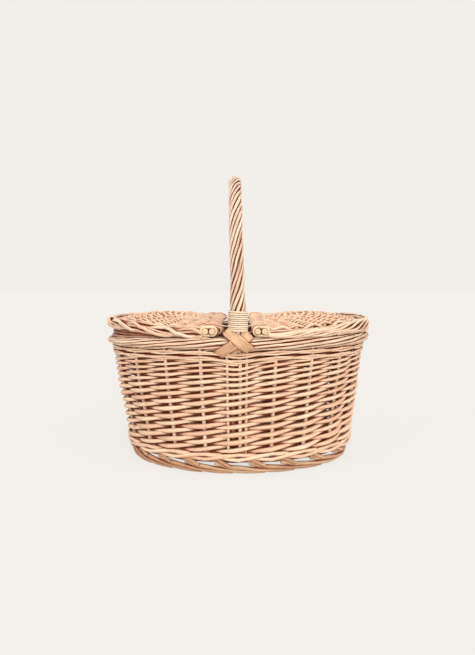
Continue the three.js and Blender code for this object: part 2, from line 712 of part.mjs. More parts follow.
// Foot border: a ring to stand on, with a leaning foot stake under every stake
function footBorder() {
  const half = FOOT_RING_WIDTH / 2;
  const edge = FOOT_RING_EDGE;
  const height = FOOT_RING_HEIGHT;
  const ring = ovalBand([
    [edge - half, 0], [half - edge, 0], [half, edge], [half, height - edge],
    [half - edge, height], [edge - half, height], [-half, height - edge], [-half, edge],
  ]);
  const posts = stakeAngles.map((angle, k) => {
    const head = ovalPoint(angle, FOOT_HEIGHT - SEAT_GAP - FOOT_STAKE_RADIUS);
    const footAngle = angleAtArc((GIRTH * k) / STAKE_COUNT + FOOT_STAKE_LEAN);
    const foot = ovalPoint(footAngle, height - 1.5 * FOOT_STAKE_RADIUS);
    return rod(foot, head, FOOT_STAKE_RADIUS, STAKE_SIDES);
  });
  return join([ring, ...posts]);
}

// Wall bands above the foot, with a channel for every stake and for the bow's feet
function upsettWale() {
  return cut(ovalBand(waleSection(UPSETT_Z, SIDE_Z - SEAT_GAP)), stakeChannels);
}

// Every rod of the side weave climbs a row at each stake, before one stake and behind the next
function sideWeave() {
  const rowShares = Array.from({ length: SIDE_ROWS }, (_, row) => {
    return 1 - (1 - TOP_ROW_SHARE) * (row / (SIDE_ROWS - 1)) ** ROW_TAPER;
  });
  const shareSum = rowShares.reduce((sum, share) => sum + share, 0);
  const unitHeight = (TOP_WALE_Z - SEAT_GAP - SIDE_Z) / shareSum;
  const edges = [SIDE_Z];
  rowShares.forEach((share, row) => edges.push(edges[row] + unitHeight * share));
  const top = edges.at(-1);
  const atStake = [[BETWEEN_STROKES, SIDE_Z]];
  for (let row = 1; row < SIDE_ROWS; row += 1) {
    const reach = row % 2 === 1 ? STROKE_REACH : BETWEEN_STROKES;
    atStake.push([reach, (edges[row] + edges[row + 1]) / 2]);
  }
  atStake.push([BETWEEN_STROKES, top], [-WALL / 2, top], [-WALL / 2, SIDE_Z]);
  const between = edges.map((z) => [BETWEEN_STAKES, z]);
  between.push([-BETWEEN_STAKES, top], [-BETWEEN_STAKES, SIDE_Z]);
  return cut(ovalBand(atStake, between), [...stakeChannels, bowChannel]);
}

function topWale() {
  return cut(ovalBand(waleSection(TOP_WALE_Z, BORDER_Z - SEAT_GAP)), [...stakeChannels, bowChannel]);
}

function topBorder() {
  return cut(ovalBand(BORDER_SECTION), [bowChannel]);
}

// Finishes: peeled willow rods, paler split skein, and the darker undersides in the base
const willow = new THREE.MeshStandardMaterial({ color: 0xe3bd94, roughness: 0.62, metalness: 0 });
const stickWillow = new THREE.MeshStandardMaterial({ color: 0xdcb286, roughness: 0.6, metalness: 0 });
const skein = new THREE.MeshStandardMaterial({ color: 0xefd6b2, roughness: 0.5, metalness: 0 });
const splitWillow = new THREE.MeshStandardMaterial({ color: 0xdcaf80, roughness: 0.5, metalness: 0 });

function piece(name, geometry, material) {
  const flat = geometry.index ? geometry.toNonIndexed() : geometry;
  flat.computeVertexNormals();
  const mesh = new THREE.Mesh(flat, material);
  mesh.name = name;
  return mesh;
}

const numbered = (name, i) => `${name}_${String(i + 1).padStart(2, '0')}`;

const basket = new THREE.Group();
basket.add(piece('foot_border', footBorder(), willow));
basket.add(piece('base_weave', baseWeave(), willow));
for (let i = 0; i < LONG_STICK_COUNT; i += 1) {
  basket.add(piece(numbered('base_long_stick', i), longStick(i), stickWillow));
}
for (let i = 0; i < CROSS_STICK_COUNT; i += 1) {
  basket.add(piece(numbered('base_cross_stick', i), crossStick(i), stickWillow));
}
stakeAngles.forEach((angle, i) => {
  basket.add(piece(numbered('stake', i), stake(angle), stickWillow));
});
basket.add(piece('upsett_wale', upsettWale(), willow));
basket.add(piece('side_weave', sideWeave(), willow));
basket.add(piece('top_wale', topWale(), willow));
basket.add(piece('top_border', topBorder(), willow));

const handle = new THREE.Group();
handle.add(piece('handle_bow', bow(), stickWillow));
handle.add(piece('handle_rope', handleRope(), willow));
for (const [place, side] of [['front', -1], ['back', 1]]) {
  handle.add(piece(`foot_wrap_${place}`, footWrap(side), skein));
  handle.add(piece(`cross_binding_${place}`, crossBinding(side), splitWillow));
}
basket.add(handle);

for (const [hand, side, hingeX] of [['left', -1, LEFT_HINGE_X], ['right', 1, RIGHT_HINGE_X]]) {
  const barEnd = stakeHalfWidth(BORDER_TOP) + CROSSBAR_PAST_STAKES;
  const barPoint = (end) => new THREE.Vector3(side * CROSSBAR_X, end * barEnd, CROSSBAR_Z);
  const bar = rod(barPoint(-1), barPoint(1), CROSSBAR_RADIUS, 12);
  basket.add(piece(`crossbar_${hand}`, bar, stickWillow));
  for (const [place, end] of [['front', -1], ['back', 1]]) {
    const loopShape = hingeLoop(side, hingeX, end * LOOP_FROM_MIDDLE);
    basket.add(piece(`hinge_loop_${hand}_${place}`, loopShape, skein));
  }
  const lid = new THREE.Group();
  const hingeStick = lidStick(side, hingeX, LID_HALF_WIDTH - HINGE_STICK_SHORTER);
  const secondStick = lidStick(side, hingeX + LID_STICK_PITCH, LID_HALF_WIDTH - SECOND_STICK_SHORTER);
  lid.add(piece(`${hand}_lid_hinge_stick`, hingeStick, stickWillow));
  lid.add(piece(`${hand}_lid_second_stick`, secondStick, stickWillow));
  FAN_ANGLES.forEach((degrees, i) => {
    lid.add(piece(numbered(`${hand}_lid_fan_stick`, i), fanStick(side, hingeX, degrees), stickWillow));
  });
  lid.add(piece(`${hand}_lid_weave`, lidPanel(side, hingeX), willow));
  lid.add(piece(`${hand}_lid_rim`, lidRim(side, hingeX), willow));
  basket.add(lid);
}

export default basket;
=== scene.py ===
# %% [markdown]
# # A willow picnic basket
#
# The real basket is woven from peeled willow rods: an oval body on a low open foot, two D-shaped lids
# hinged on a pair of crossbar rods, and one fixed roped handle. Every rod is modelled as a rod, swept
# along its own path over and under the others, because the look of wickerwork comes from real gaps and
# real shadows between round rods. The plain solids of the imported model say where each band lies.

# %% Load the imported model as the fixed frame
import math

import bpy
import numpy as np
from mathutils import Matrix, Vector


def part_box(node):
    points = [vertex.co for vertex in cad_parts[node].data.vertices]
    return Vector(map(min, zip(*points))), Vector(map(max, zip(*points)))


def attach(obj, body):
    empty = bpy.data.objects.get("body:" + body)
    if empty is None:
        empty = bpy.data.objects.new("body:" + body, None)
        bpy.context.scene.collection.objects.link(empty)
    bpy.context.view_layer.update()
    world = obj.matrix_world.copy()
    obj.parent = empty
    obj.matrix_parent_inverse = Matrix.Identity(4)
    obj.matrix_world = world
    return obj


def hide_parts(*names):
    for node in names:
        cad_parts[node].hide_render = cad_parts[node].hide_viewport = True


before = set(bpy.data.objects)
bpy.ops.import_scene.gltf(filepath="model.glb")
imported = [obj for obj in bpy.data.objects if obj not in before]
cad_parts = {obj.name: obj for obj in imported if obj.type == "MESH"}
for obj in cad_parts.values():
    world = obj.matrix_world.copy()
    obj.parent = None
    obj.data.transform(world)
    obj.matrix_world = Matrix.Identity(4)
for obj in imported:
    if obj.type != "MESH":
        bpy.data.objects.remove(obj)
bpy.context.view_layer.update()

# %% [markdown]
# ## The oval that everything follows
#
# Wickerwork is measured along its stakes, which stand on an oval that opens out upwards. A curve
# object could carry the rods, but it can't widen with height. So each place on the body is worked
# out from three numbers: the length along the oval from the front middle, a height, and a distance
# outwards from the line of the stakes. Work is in millimetres, and a mesh is scaled to metres when
# it is made.

# %% Sizes of the oval and of its bands, in millimetres
MM = 0.001
HALF_LENGTH = 163
HALF_WIDTH = 114
LENGTH_FLARE = 0.152
WIDTH_FLARE = 0.145
STAKES = 20
STAKE_RADIUS = 2.6


def heights(node):
    """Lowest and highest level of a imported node, in millimetres."""
    low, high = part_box(node)
    return low[2] / MM, high[2] / MM


FOOT_TOP = heights("upsett_wale")[0]
SIDE_BOTTOM = heights("side_weave")[0]
WALE_BOTTOM = heights("top_wale")[0]
BORDER_BOTTOM, BORDER_TOP = heights("top_border")
HANDLE_TOP = heights("handle_rope")[1]
BASE_MIDDLE = sum(heights("base_weave")) / 2
bands = (FOOT_TOP, SIDE_BOTTOM, WALE_BOTTOM, BORDER_BOTTOM, BORDER_TOP)
print("bands start at", [round(height, 1) for height in bands])


# %% Places on the oval
def oval(angle, z, offset=0.0):
    """Points at an angle, a height and a distance outwards from the stakes."""
    angle, z, offset = np.broadcast_arrays(angle, z, offset)
    a = HALF_LENGTH + LENGTH_FLARE * z
    b = HALF_WIDTH + WIDTH_FLARE * z
    normal = np.stack([np.cos(angle) / a, np.sin(angle) / b], axis=-1)
    normal /= np.linalg.norm(normal, axis=-1, keepdims=True)
    x = a * np.cos(angle) + offset * normal[..., 0]
    y = b * np.sin(angle) + offset * normal[..., 1]
    return np.stack([x, y, z], axis=-1)


TURNS = np.linspace(-math.pi / 2, 1.5 * math.pi, 2001)
STEPS = np.linalg.norm(np.diff(oval(TURNS, SIDE_BOTTOM), axis=0), axis=1)
ARCS = np.concatenate([[0.0], np.cumsum(STEPS)])
GIRTH = ARCS[-1]
PITCH = GIRTH / STAKES
print(f"girth {GIRTH:.0f} mm, a stake every {PITCH:.1f} mm")


def along_oval(arc, z, offset=0.0):
    """Points at a length along the oval from the front middle, going right."""
    arc = np.asarray(arc, float)
    angle = np.interp(arc % GIRTH, ARCS, TURNS)
    return oval(angle, z, offset)


# %% [markdown]
# ## How the real body sits
#
# Willow is never quite true. The border lies lower at the left end, so that a dark gap opens under
# the left lid, and a little lower at the right end too. The foot is drawn in at the left, and the
# wide bindings pull the top of the weave down at the handle. A lattice could bend the finished
# meshes, but it would squeeze the rods' round sections. Here the paths are moved before they are
# swept, so the weave stays a simple rule and every rod stays round.

# %% The small sags of the body
LEFT_DIP = 9.8
RIGHT_DIP = 1.8
BINDING_PULL = 4.5
BINDING_PULL_REACH = 27
PULLED_FROM = 105
PULLED_OVER = 45
PULL_INTO_BORDER = 8
PULL_FADES_OVER = 12
LEFT_FOOT_DRAWN_IN = 5.0
DRAWN_IN_BELOW = 140
DRAWN_IN_OVER = 100


def smooth(share):
    share = np.clip(share, 0, 1)
    return share * share * (3 - 2 * share)


def settle(points):
    """Moves points of the body to where the real, slightly uneven one has them."""
    x, z = points[:, 0], points[:, 2]
    share = x / (HALF_LENGTH + LENGTH_FLARE * BORDER_TOP)
    in_border = smooth((z - BORDER_BOTTOM) / (BORDER_TOP - BORDER_BOTTOM))
    left = -LEFT_DIP * (0.5 * z / BORDER_TOP + 0.5 * in_border)
    right = -RIGHT_DIP * z / BORDER_TOP
    dip = np.where(share < 0, left, right) * share ** 2
    pull = BINDING_PULL * np.exp(-(x / BINDING_PULL_REACH) ** 2)
    pull = pull * smooth((z - PULLED_FROM) / PULLED_OVER)
    pull = pull * smooth((BORDER_BOTTOM + PULL_INTO_BORDER - z) / PULL_FADES_OVER)
    moved = points.copy()
    moved[:, 0] += LEFT_FOOT_DRAWN_IN * smooth(-share) * smooth((DRAWN_IN_BELOW - z) / DRAWN_IN_OVER)
    moved[:, 2] += dip - pull
    return moved


# %% [markdown]
# ## One sweep for every rod
#
# A rod could be a curve with a bevel, but then the rods of one piece can't share a mesh and still
# have each its own tone and grain. So each piece is a bundle: every rod is swept as rings round its
# path, and each vertex keeps four things for the finishes: where it lies in the rod's own wood, the
# rod's tone, whether it is on a cut end, and how much painted shade it takes for lying deep in the
# weave. The sunken sides are painted browner, as painted shade. A flat section makes strips of skein.

# %% The directions across a rod, carried along it without twist
def unit(vectors):
    return vectors / np.maximum(np.linalg.norm(vectors, axis=-1, keepdims=True), 1e-12)


def cross_directions(line, facing=None):
    along = unit(np.gradient(line, axis=0))
    if facing is not None:
        side = unit(np.cross(np.broadcast_to(facing, line.shape), along))
        return along, side, np.cross(along, side)
    side = np.empty_like(along)
    first = np.cross(along[0], [0.0, 0.0, 1.0])
    if np.linalg.norm(first) < 0.1:
        first = np.cross(along[0], [1.0, 0.0, 0.0])
    held = first
    for i, direction in enumerate(along):
        held = held - direction * held.dot(direction)
        held = held / math.sqrt(held.dot(held))
        side[i] = held
    return along, side, np.cross(along, side)


# %% Which way is out of the weave
def out_of_body(line):
    a = HALF_LENGTH + LENGTH_FLARE * line[:, 2]
    b = HALF_WIDTH + WIDTH_FLARE * line[:, 2]
    return unit(np.stack([line[:, 0] / a ** 2, line[:, 1] / b ** 2, 0 * a], -1))


# %% The cut ends of a rod
BEVEL_LENGTH = 0.16
BEVEL_WIDTH = 0.86


def with_ends(rows, scale=1.0):
    """Repeats the first and the last row, for the small bevel at each cut end."""
    return np.concatenate([rows[:1] * scale, rows, rows[-1:] * scale])


# %% An object in the scene
def place(name, data):
    obj = bpy.data.objects.new(name, data)
    bpy.context.scene.collection.objects.link(obj)
    return obj


# %% A bundle of rods that becomes one mesh
WANDER_LENGTHS = (75, 31, 14)
UNEVEN_THICKNESS = 0.02
SQUARE_ACROSS = 0.5
SQUARE_THROUGH = 0.6
# How far round the side of a sunken rod its painted shade reaches
SHADE_ROUND_THE_SIDE = 0.3
WOOD_LENGTH = 4000


class Bundle:
    """Rods gathered into one piece; the seed fixes every small unevenness."""

    def __init__(self, name, seed):
        self.name = name
        self.random = np.random.default_rng(seed)
        self.points, self.grain, self.tone, self.cut, self.deep_shade = [], [], [], [], []
        self.quads, self.caps = [], []
        self.count = 0
        self.rods = 0

    def waves(self, length, amount):
        """A slow random wander along a rod, as real rods have."""
        total = np.zeros_like(length)
        for wavelength in WANDER_LENGTHS:
            phase = self.random.uniform(0, 2 * math.pi)
            total += np.sin(2 * math.pi * length / wavelength + phase) * wavelength / WANDER_LENGTHS[0]
        return amount * total

    def rod(self, line, radius, sides=8, flat=None, facing=None, tone=None, wander=0.25, shade_depth=0.0, out=None,
            shaded_all_round=False):
        """Sweeps a rod.

        A strip has flat as its half-thickness, radius as its half-width and faces along facing.
        Depth from 0 to 1 says how sunken its path is, and so how much painted shade it takes. The painted
        shade browns the side that faces along out, and every side of a rod that is shaded all round.
        """
        line = np.asarray(line, float)
        out = out_of_body(line) if out is None else out
        shade_depth = np.broadcast_to(shade_depth, line.shape[:1])
        steps = np.linalg.norm(np.diff(line, axis=0), axis=1)
        length = np.concatenate([[0.0], np.cumsum(steps)])
        along, side, up = cross_directions(line, facing)
        line = line + side * self.waves(length, wander)[:, None] + up * self.waves(length, wander)[:, None]
        width = np.broadcast_to(radius, length.shape) * (1 + self.waves(length, UNEVEN_THICKNESS))
        thickness = width if flat is None else np.full(length.shape, float(flat))
        bevel = BEVEL_LENGTH * min(thickness[0], thickness[-1])
        line = np.vstack([line[:1] - along[:1] * bevel, line, line[-1:] + along[-1:] * bevel])
        side, up, out, length, shade_depth = (with_ends(rows) for rows in (side, up, out, length, shade_depth))
        width, thickness = (with_ends(rows, BEVEL_WIDTH) for rows in (width, thickness))

        turn = 2 * math.pi * (np.arange(sides) + 0.5) / sides
        across, through = np.cos(turn), np.sin(turn)
        if flat is not None:
            across = np.sign(across) * np.abs(across) ** SQUARE_ACROSS
            through = np.sign(through) * np.abs(through) ** SQUARE_THROUGH
        local_x = width[:, None] * across
        local_y = thickness[:, None] * through
        spokes = side[:, None] * local_x[..., None] + up[:, None] * local_y[..., None]
        outwards = (unit(spokes) * out[:, None]).sum(-1)
        # Painted shade on the side of a sunken rod that faces out of the weave
        shaded_side = smooth((outwards + SHADE_ROUND_THE_SIDE) / (1 - SHADE_ROUND_THE_SIDE))
        if shaded_all_round:
            shaded_side = np.ones_like(shaded_side)
        where = length[:, None] + self.random.uniform(0, WOOD_LENGTH) + np.zeros_like(local_x)
        cut = np.zeros(local_x.shape)
        cut[0] = cut[-1] = 1
        self.points.append((line[:, None] + spokes).reshape(-1, 3))
        self.grain.append(np.stack([local_x, local_y, where], -1).reshape(-1, 3))
        self.tone.append(np.full(cut.size, self.random.random() if tone is None else tone))
        self.cut.append(cut.reshape(-1))
        self.deep_shade.append(np.clip(shade_depth[:, None] * shaded_side, 0, 1).reshape(-1))
        self.add_faces(len(line), sides)

    def add_faces(self, rings, sides):
        """Adds the faces between neighbouring rings and a cap on each cut end."""
        corner = np.arange(sides)
        after = (corner + 1) % sides
        start = self.count + np.arange(rings - 1)[:, None] * sides
        faces = [start + corner, start + after, start + sides + after, start + sides + corner]
        self.quads.append(np.stack(faces, -1).reshape(-1, 4))
        self.caps.append((self.count + corner[::-1]).tolist())
        self.caps.append((self.count + (rings - 1) * sides + corner).tolist())
        self.count += rings * sides
        self.rods += 1

    def piece(self, body, material, slot, *nodes):
        """Makes the mesh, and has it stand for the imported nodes."""
        mesh = bpy.data.meshes.new(self.name)
        quads = np.concatenate(self.quads).tolist()
        mesh.from_pydata((np.concatenate(self.points) * MM).tolist(), [], quads + self.caps)
        smooth_faces = [True] * len(quads) + [False] * len(self.caps)
        mesh.polygons.foreach_set("use_smooth", smooth_faces)
        mesh.attributes.new("grain", "FLOAT_VECTOR", "POINT").data.foreach_set(
            "vector", np.concatenate(self.grain).ravel())
        for name, values in (("tone", self.tone), ("cut", self.cut), ("deep_shade", self.deep_shade)):
            mesh.attributes.new(name, "FLOAT", "POINT").data.foreach_set("value", np.concatenate(values))
        mesh.materials.append(material)
        obj = place(self.name, mesh)
        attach(obj, body)
        if nodes:
            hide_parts(*nodes)
        print(f"{self.name}: {self.rods} rods, {self.count} vertices")


# %% [markdown]
# ## Shader maths in plain Python
#
# A finish is a net of nodes. It could be wired node by node, but such code hides what is worked
# out. One small class wraps a node's output and gives it Python's operators, so that a finish reads
# as an expression; any other node comes from its node method.

# %% A socket with Python's operators
class Socket:
    def __init__(self, tree, output=None):
        self.tree = tree
        self.output = output

    def node(self, kind, settings=None, inputs=None, out=0):
        """Adds a node: its type, its settings, then the values or links of its sockets."""
        made = self.tree.nodes.new(kind)
        for key, value in (settings or {}).items():
            setattr(made, key, value)
        for key, value in (inputs or {}).items():
            if isinstance(value, Socket):
                self.tree.links.new(value.output, made.inputs[key])
            else:
                made.inputs[key].default_value = value
        return Socket(self.tree, made.outputs[out] if len(made.outputs) else None)

    def math(self, operation, *values):
        return self.node("ShaderNodeMath", {"operation": operation}, dict(enumerate(values)))

    def __add__(self, other):
        return self.math("ADD", self, other)

    __radd__ = __add__

    def __mul__(self, other):
        return self.math("MULTIPLY", self, other)

    __rmul__ = __mul__

    def __sub__(self, other):
        return self.math("SUBTRACT", self, other)

    def __rsub__(self, other):
        return self.math("SUBTRACT", other, self)

    def ramp(self, low, high):
        """0 below low, 1 above high, and a smooth rise between them."""
        settings = {"interpolation_type": "SMOOTHSTEP"}
        return self.node("ShaderNodeMapRange", settings, {0: self, 1: low, 2: high, 3: 0.0, 4: 1.0})

    def stretched(self, x, y, z):
        inputs = {0: self, 1: (x, y, z)}
        return self.node("ShaderNodeVectorMath", {"operation": "MULTIPLY"}, inputs)

    def noise(self, detail=2.0):
        inputs = {"Vector": self, "Scale": 1.0, "Detail": detail, "Roughness": 0.6}
        return self.node("ShaderNodeTexNoise", None, inputs)

    def mix(self, first, second):
        """Blends two colours by this value."""
        settings = {"data_type": "RGBA", "clamp_factor": True}
        return self.node("ShaderNodeMix", settings, {0: self, 6: first, 7: second}, out=2)


def tint(red, green, blue):
    """A colour given as on a screen, turned into light values."""
    values = [c / 255 for c in (red, green, blue)]
    return tuple(c / 12.92 if c <= 0.04045 else ((c + 0.055) / 1.055) ** 2.4 for c in values) + (1.0,)


# %% [markdown]
# ## Peeled willow
#
# Peeled willow is pale buff, with rods that turn pinker or yellower, fine streaks along the grain,
# a few brown leaf scars and a satin skin. Cut ends are paler, with growth rings and a small pith. A
# wood texture in the object's space would run straight through a bent rod. So the noise is read in
# each rod's own wood, which the sweep has stored, and every streak follows its rod round each bend.
# All the finishes come from one maker, because they are the same wood, peeled, shaved or split. The
# maker also paints shade into the colour: creases and sunken parts turn dark brown as painted shade,
# and the stake and foot finishes are a lit and a shaded copy of the willow, painted paler and darker.

# %% The cut end of a rod, from the place in its section
CUT_END = (232, 207, 170)
GROWTH_RING = (172, 124, 82)


def cut_end(grain, fine):
    section = grain.stretched(1.0, 1.0, 0.0)
    reach = section.node("ShaderNodeVectorMath", {"operation": "LENGTH"}, {0: section}, out="Value")
    wave = reach * 5.5 + fine * 2.5
    rings = wave.math("SINE", wave) * 0.5 + 0.5
    pith = 1.0 - reach.ramp(0.35, 0.75)
    return (rings * 0.6 + pith * 0.6).mix(tint(*CUT_END), tint(*GROWTH_RING))


# %% A maker for the willow finishes
# Painted shade: the dark brown that creases and sunken parts of the rods take
PAINTED_SHADE_BROWN = (136, 60, 24)
CREASE_DISTANCE = 0.008
RELIEF_HEIGHT = 0.0006
SATIN = 0.42


# The last argument sets how strongly the creases are painted dark brown, as painted shade
def willow(name, pale, warm, pink, dark, roughness=0.55, streaks=1.0, scars=1.0, bump=0.35, crease_shade_strength=1.3):
    pale, warm, pink, dark = (tint(*colour) for colour in (pale, warm, pink, dark))
    material = bpy.data.materials.new(name)
    material.use_nodes = True
    tree = material.node_tree
    shader = tree.nodes["Principled BSDF"]
    start = Socket(tree)
    grain = start.node("ShaderNodeAttribute", {"attribute_name": "grain"}, out="Vector")
    tone = start.node("ShaderNodeAttribute", {"attribute_name": "tone"}, out="Fac")
    cut = start.node("ShaderNodeAttribute", {"attribute_name": "cut"}, out="Fac")
    deep_shade = start.node("ShaderNodeAttribute", {"attribute_name": "deep_shade"}, out="Fac")

    fibre = grain.stretched(1.5, 1.5, 0.035).noise(3.0)
    fine = grain.stretched(5.0, 5.0, 0.25).noise(2.0)
    patch = grain.stretched(0.12, 0.12, 0.018).noise(2.0)
    blush = grain.stretched(0.09, 0.09, 0.011).noise(1.0)
    scar = grain.stretched(0.42, 0.42, 0.085).noise(1.0).ramp(0.69, 0.76)

    colour = (tone * 0.75 + patch * 0.5 - 0.12).mix(pale, warm)
    colour = ((blush + tone * 0.25).ramp(0.5, 0.85) * 0.6).mix(colour, pink)
    colour = ((1.0 - fibre.ramp(0.3, 0.62)) * (0.42 * streaks)).mix(colour, dark)
    colour = (fine.ramp(0.6, 0.75) * (0.12 * streaks)).mix(colour, dark)
    colour = (scar * (0.7 * scars)).mix(colour, dark)
    # Painted shade: ambient occlusion finds the creases, and they and the sunken parts turn dark brown
    open_to_light = start.node("ShaderNodeAmbientOcclusion", {"samples": 8, "only_local": True},
                               {"Distance": CREASE_DISTANCE}, out="AO")
    crease_shade = 1 - open_to_light.ramp(0.28, 0.9)
    colour = ((crease_shade * crease_shade_strength + deep_shade) * (0.8 + 0.3 * patch)).mix(colour, tint(*PAINTED_SHADE_BROWN))
    colour = cut.ramp(0.4, 0.8).mix(colour, cut_end(grain, fine))
    dull = roughness + fibre * 0.16 - 0.08 + crease_shade * 0.3
    height = fibre * 0.6 + fine * 0.3 - scar * 0.5 + patch * 0.4
    relief = start.node("ShaderNodeBump", None,
                        {"Strength": bump, "Distance": RELIEF_HEIGHT, "Height": height})

    tree.links.new(colour.output, shader.inputs["Base Color"])
    tree.links.new(dull.output, shader.inputs["Roughness"])
    tree.links.new(relief.output, shader.inputs["Normal"])
    shader.inputs["Specular IOR Level"].default_value = SATIN
    return material


# %% The finishes: pale, warm, pink and dark tints of each
WILLOW = willow("peeled_willow", (244, 217, 187), (230, 190, 154), (230, 182, 154), (146, 90, 54))
# Border and handle finishes: strong painted shade in the grooves between their rods
BORDER_WILLOW = willow("border_willow", (248, 226, 198), (236, 201, 167), (235, 192, 163), (124, 70, 38),
                       streaks=1.6, crease_shade_strength=2.5)
# A shaded copy of the willow: darker tints and more crease shade, as painted shade on the foot under the
# wall
SHADED_FOOT_WILLOW = willow("shaded_foot_willow", (222, 188, 150), (200, 155, 114), (204, 154, 121), (106, 58, 30),
                     streaks=1.8, crease_shade_strength=3.4)
ROPE_WILLOW = willow("handle_willow", (247, 229, 205), (233, 205, 176), (230, 196, 171), (118, 78, 48),
                     streaks=1.6, crease_shade_strength=3.1)
# A lit copy of the willow: paler tints and little crease shade, as painted light on the stakes in the shaded
# slots
LIT_STAKE_WILLOW = willow("lit_stake_willow", (252, 230, 203), (240, 208, 174), (240, 202, 174), (160, 108, 72), crease_shade_strength=0.2)
STICK = willow("stick_willow", (243, 216, 181), (225, 185, 146), (224, 178, 148), (142, 90, 56),
               streaks=1.2, crease_shade_strength=0.45)
SKEIN = willow("skein", (245, 224, 196), (236, 208, 174), (236, 204, 178), (170, 120, 80),
               roughness=0.5, streaks=0.8, scars=0.2, bump=0.25)
SPLIT = willow("split_willow", (232, 197, 159), (217, 174, 134), (221, 177, 142), (140, 82, 46),
               roughness=0.42, streaks=1.6, scars=0.3, bump=0.3)
print("finishes:", [m.name for m in bpy.data.materials])

# %% [markdown]
# ## Stakes
#
# Twenty upright rods carry the wall, and show as short pale bars in the slots of the weave. At each
# foot of the handle stand the stake, the bow's thinned foot and two thin liners instead of one rod.
# A stake could be a cylinder, but the same sweep as for the weave gives it grain and a little wander.

# %% The stakes
UPRIGHTS_AT_HANDLE = [(-13.0, 1.9), (2.7, 2.4), (10.5, 1.9)]
STAKE_OUT = 0.6
STAKE_ASIDE = 0.8
STAKE_RUN_ON = 2


def stakes():
    bundle = Bundle("stakes", 3)
    level = np.linspace(FOOT_TOP + STAKE_RUN_ON, BORDER_BOTTOM + STAKE_RUN_ON, 14)
    for k in range(STAKES):
        arcs = [(k * PITCH + bundle.random.uniform(-STAKE_ASIDE, STAKE_ASIDE), STAKE_RADIUS)]
        if k % (STAKES // 2) == 0:
            arcs = [(k * PITCH + beside, radius) for beside, radius in UPRIGHTS_AT_HANDLE]
        for arc, radius in arcs:
            bundle.rod(settle(along_oval(arc, level, STAKE_OUT)), radius, wander=0.15)
    nodes = [f"stake_{k + 1:02d}" for k in range(STAKES)]
    bundle.piece("basket", LIT_STAKE_WILLOW, "stick_willow", *nodes)


stakes()

# %% [markdown]
# ## French randing
#
# The side is woven with one rod for each stake. Each rod starts one stake further on, passes in front
# of one stake and behind the next, and climbs one row at every stake, so all rows rise to the right.
# The rods thin towards their tips, so the rows draw closer near the top. A displaced wall would be
# far lighter, but it has no slots to look through. Here the rule that the maker follows is the code:
# one path for each rod, whose distance outwards swings like a cosine.

# %% The side weave
ROWS = 24
TOP_ROW_SHARE = 0.5
ROWS_THIN_LATE = 2.2
ROWS_BELOW = 4
SPAN_STEPS = 8
ROD_TO_ROW = 0.6
ROD_FULLER = 0.12
ROW_UNEVEN = 0.65
PRESSED_TOGETHER = 1.1
SQUEEZED = 0.16
THICKER_BEHIND = 0.34
CLIMB_IN_FRONT = 0.13
# Painted shade on rods where they pass behind a stake
SHADE_BEHIND = 0.88


def randing():
    """Returns the lowest strokes as paths, because they lie in the thick band at the bottom."""
    bundle = Bundle("side_weave_rods", 11)
    share = np.arange(ROWS) / (ROWS - 1)
    thickness = 1 - (1 - TOP_ROW_SHARE) * share ** ROWS_THIN_LATE
    edges = np.concatenate([[0.0], np.cumsum(thickness)])
    row_height = (WALE_BOTTOM - SIDE_BOTTOM) / edges[-1]
    rows = SIDE_BOTTOM + row_height * (edges[:-1] + edges[1:]) / 2
    rows = np.concatenate([rows[0] - row_height * np.arange(ROWS_BELOW, 0, -1), rows])
    radii = ROD_TO_ROW * row_height * np.concatenate([np.ones(ROWS_BELOW), thickness]) + ROD_FULLER
    every_row = np.arange(len(rows))
    step = np.arange((len(rows) - 1) * SPAN_STEPS + 1) / SPAN_STEPS
    climbed = step - CLIMB_IN_FRONT * np.sin(math.pi * step)
    in_front = -np.cos(math.pi * step)
    # The parts of each rod behind a stake take painted shade
    shade_depth = SHADE_BEHIND * smooth((-0.3 - in_front) / 0.5)
    cut = ROWS_BELOW * SPAN_STEPS
    below = []
    for weaver in range(STAKES):
        uneven = rows + bundle.random.uniform(-ROW_UNEVEN, ROW_UNEVEN, len(rows))
        slim = bundle.random.uniform(0.9, 1.07)
        z = np.interp(climbed, every_row, uneven)
        radius = np.interp(step, every_row, radii) * slim
        offset = in_front * (STAKE_RADIUS + radius - PRESSED_TOGETHER)
        radius = radius * (1 - SQUEEZED * (1 - in_front ** 2) + THICKER_BEHIND * smooth(-in_front))
        line = settle(along_oval((weaver + step) * PITCH, z, offset))
        below.append((line[:cut + 1], radius[:cut + 1], shade_depth[:cut + 1]))
        bundle.rod(line[cut:], radius[cut:], shade_depth=shade_depth[cut:])
    bundle.piece("basket", WILLOW, "willow", "side_weave")
    return below


lowest_strokes = randing()

# %% [markdown]
# ## Wales
#
# A wale is three rods worked in turn, each in front of two stakes and behind the third. It locks the
# weave at the foot and under the border. Outside, each stroke rises from under the last one, which
# gives the rope-like slant. A twisted tube would slant the same at every place, while three rods with
# a repeating path also dip behind each third stake, where they are painted browner as painted shade.
# Liners close the top wale from inside, as the imported rods of the real one do, and are painted brown
# all round as painted shade.

# %% A round of waling
def wale_round(bundle, middle, radius, first, slant):
    """One level round of three rods, each in front of two stakes and behind the third."""
    reach = STAKE_RADIUS + radius - 0.5
    step = np.arange(STAKES * 6 + 5) / 6
    for strand in range(3):
        phase = step % 3
        behind = smooth(1 - np.minimum(phase, 3 - phase) / 0.8)
        z = middle + slant * radius * np.interp(phase, [0, 1, 2, 3], [0, -1, 1, 0])
        place = (first + strand + step) * PITCH
        line = along_oval(place, z + bundle.random.uniform(-0.2, 0.2), reach * (1 - 2 * behind))
        # Painted shade where a strand passes behind a stake
        bundle.rod(settle(line), radius, wander=0.2, shade_depth=SHADE_BEHIND * behind)


def liner(z, offset):
    """A level line all round the body, for a rod that closes a band from inside."""
    return settle(along_oval(np.linspace(0, GIRTH, 120), z, offset))


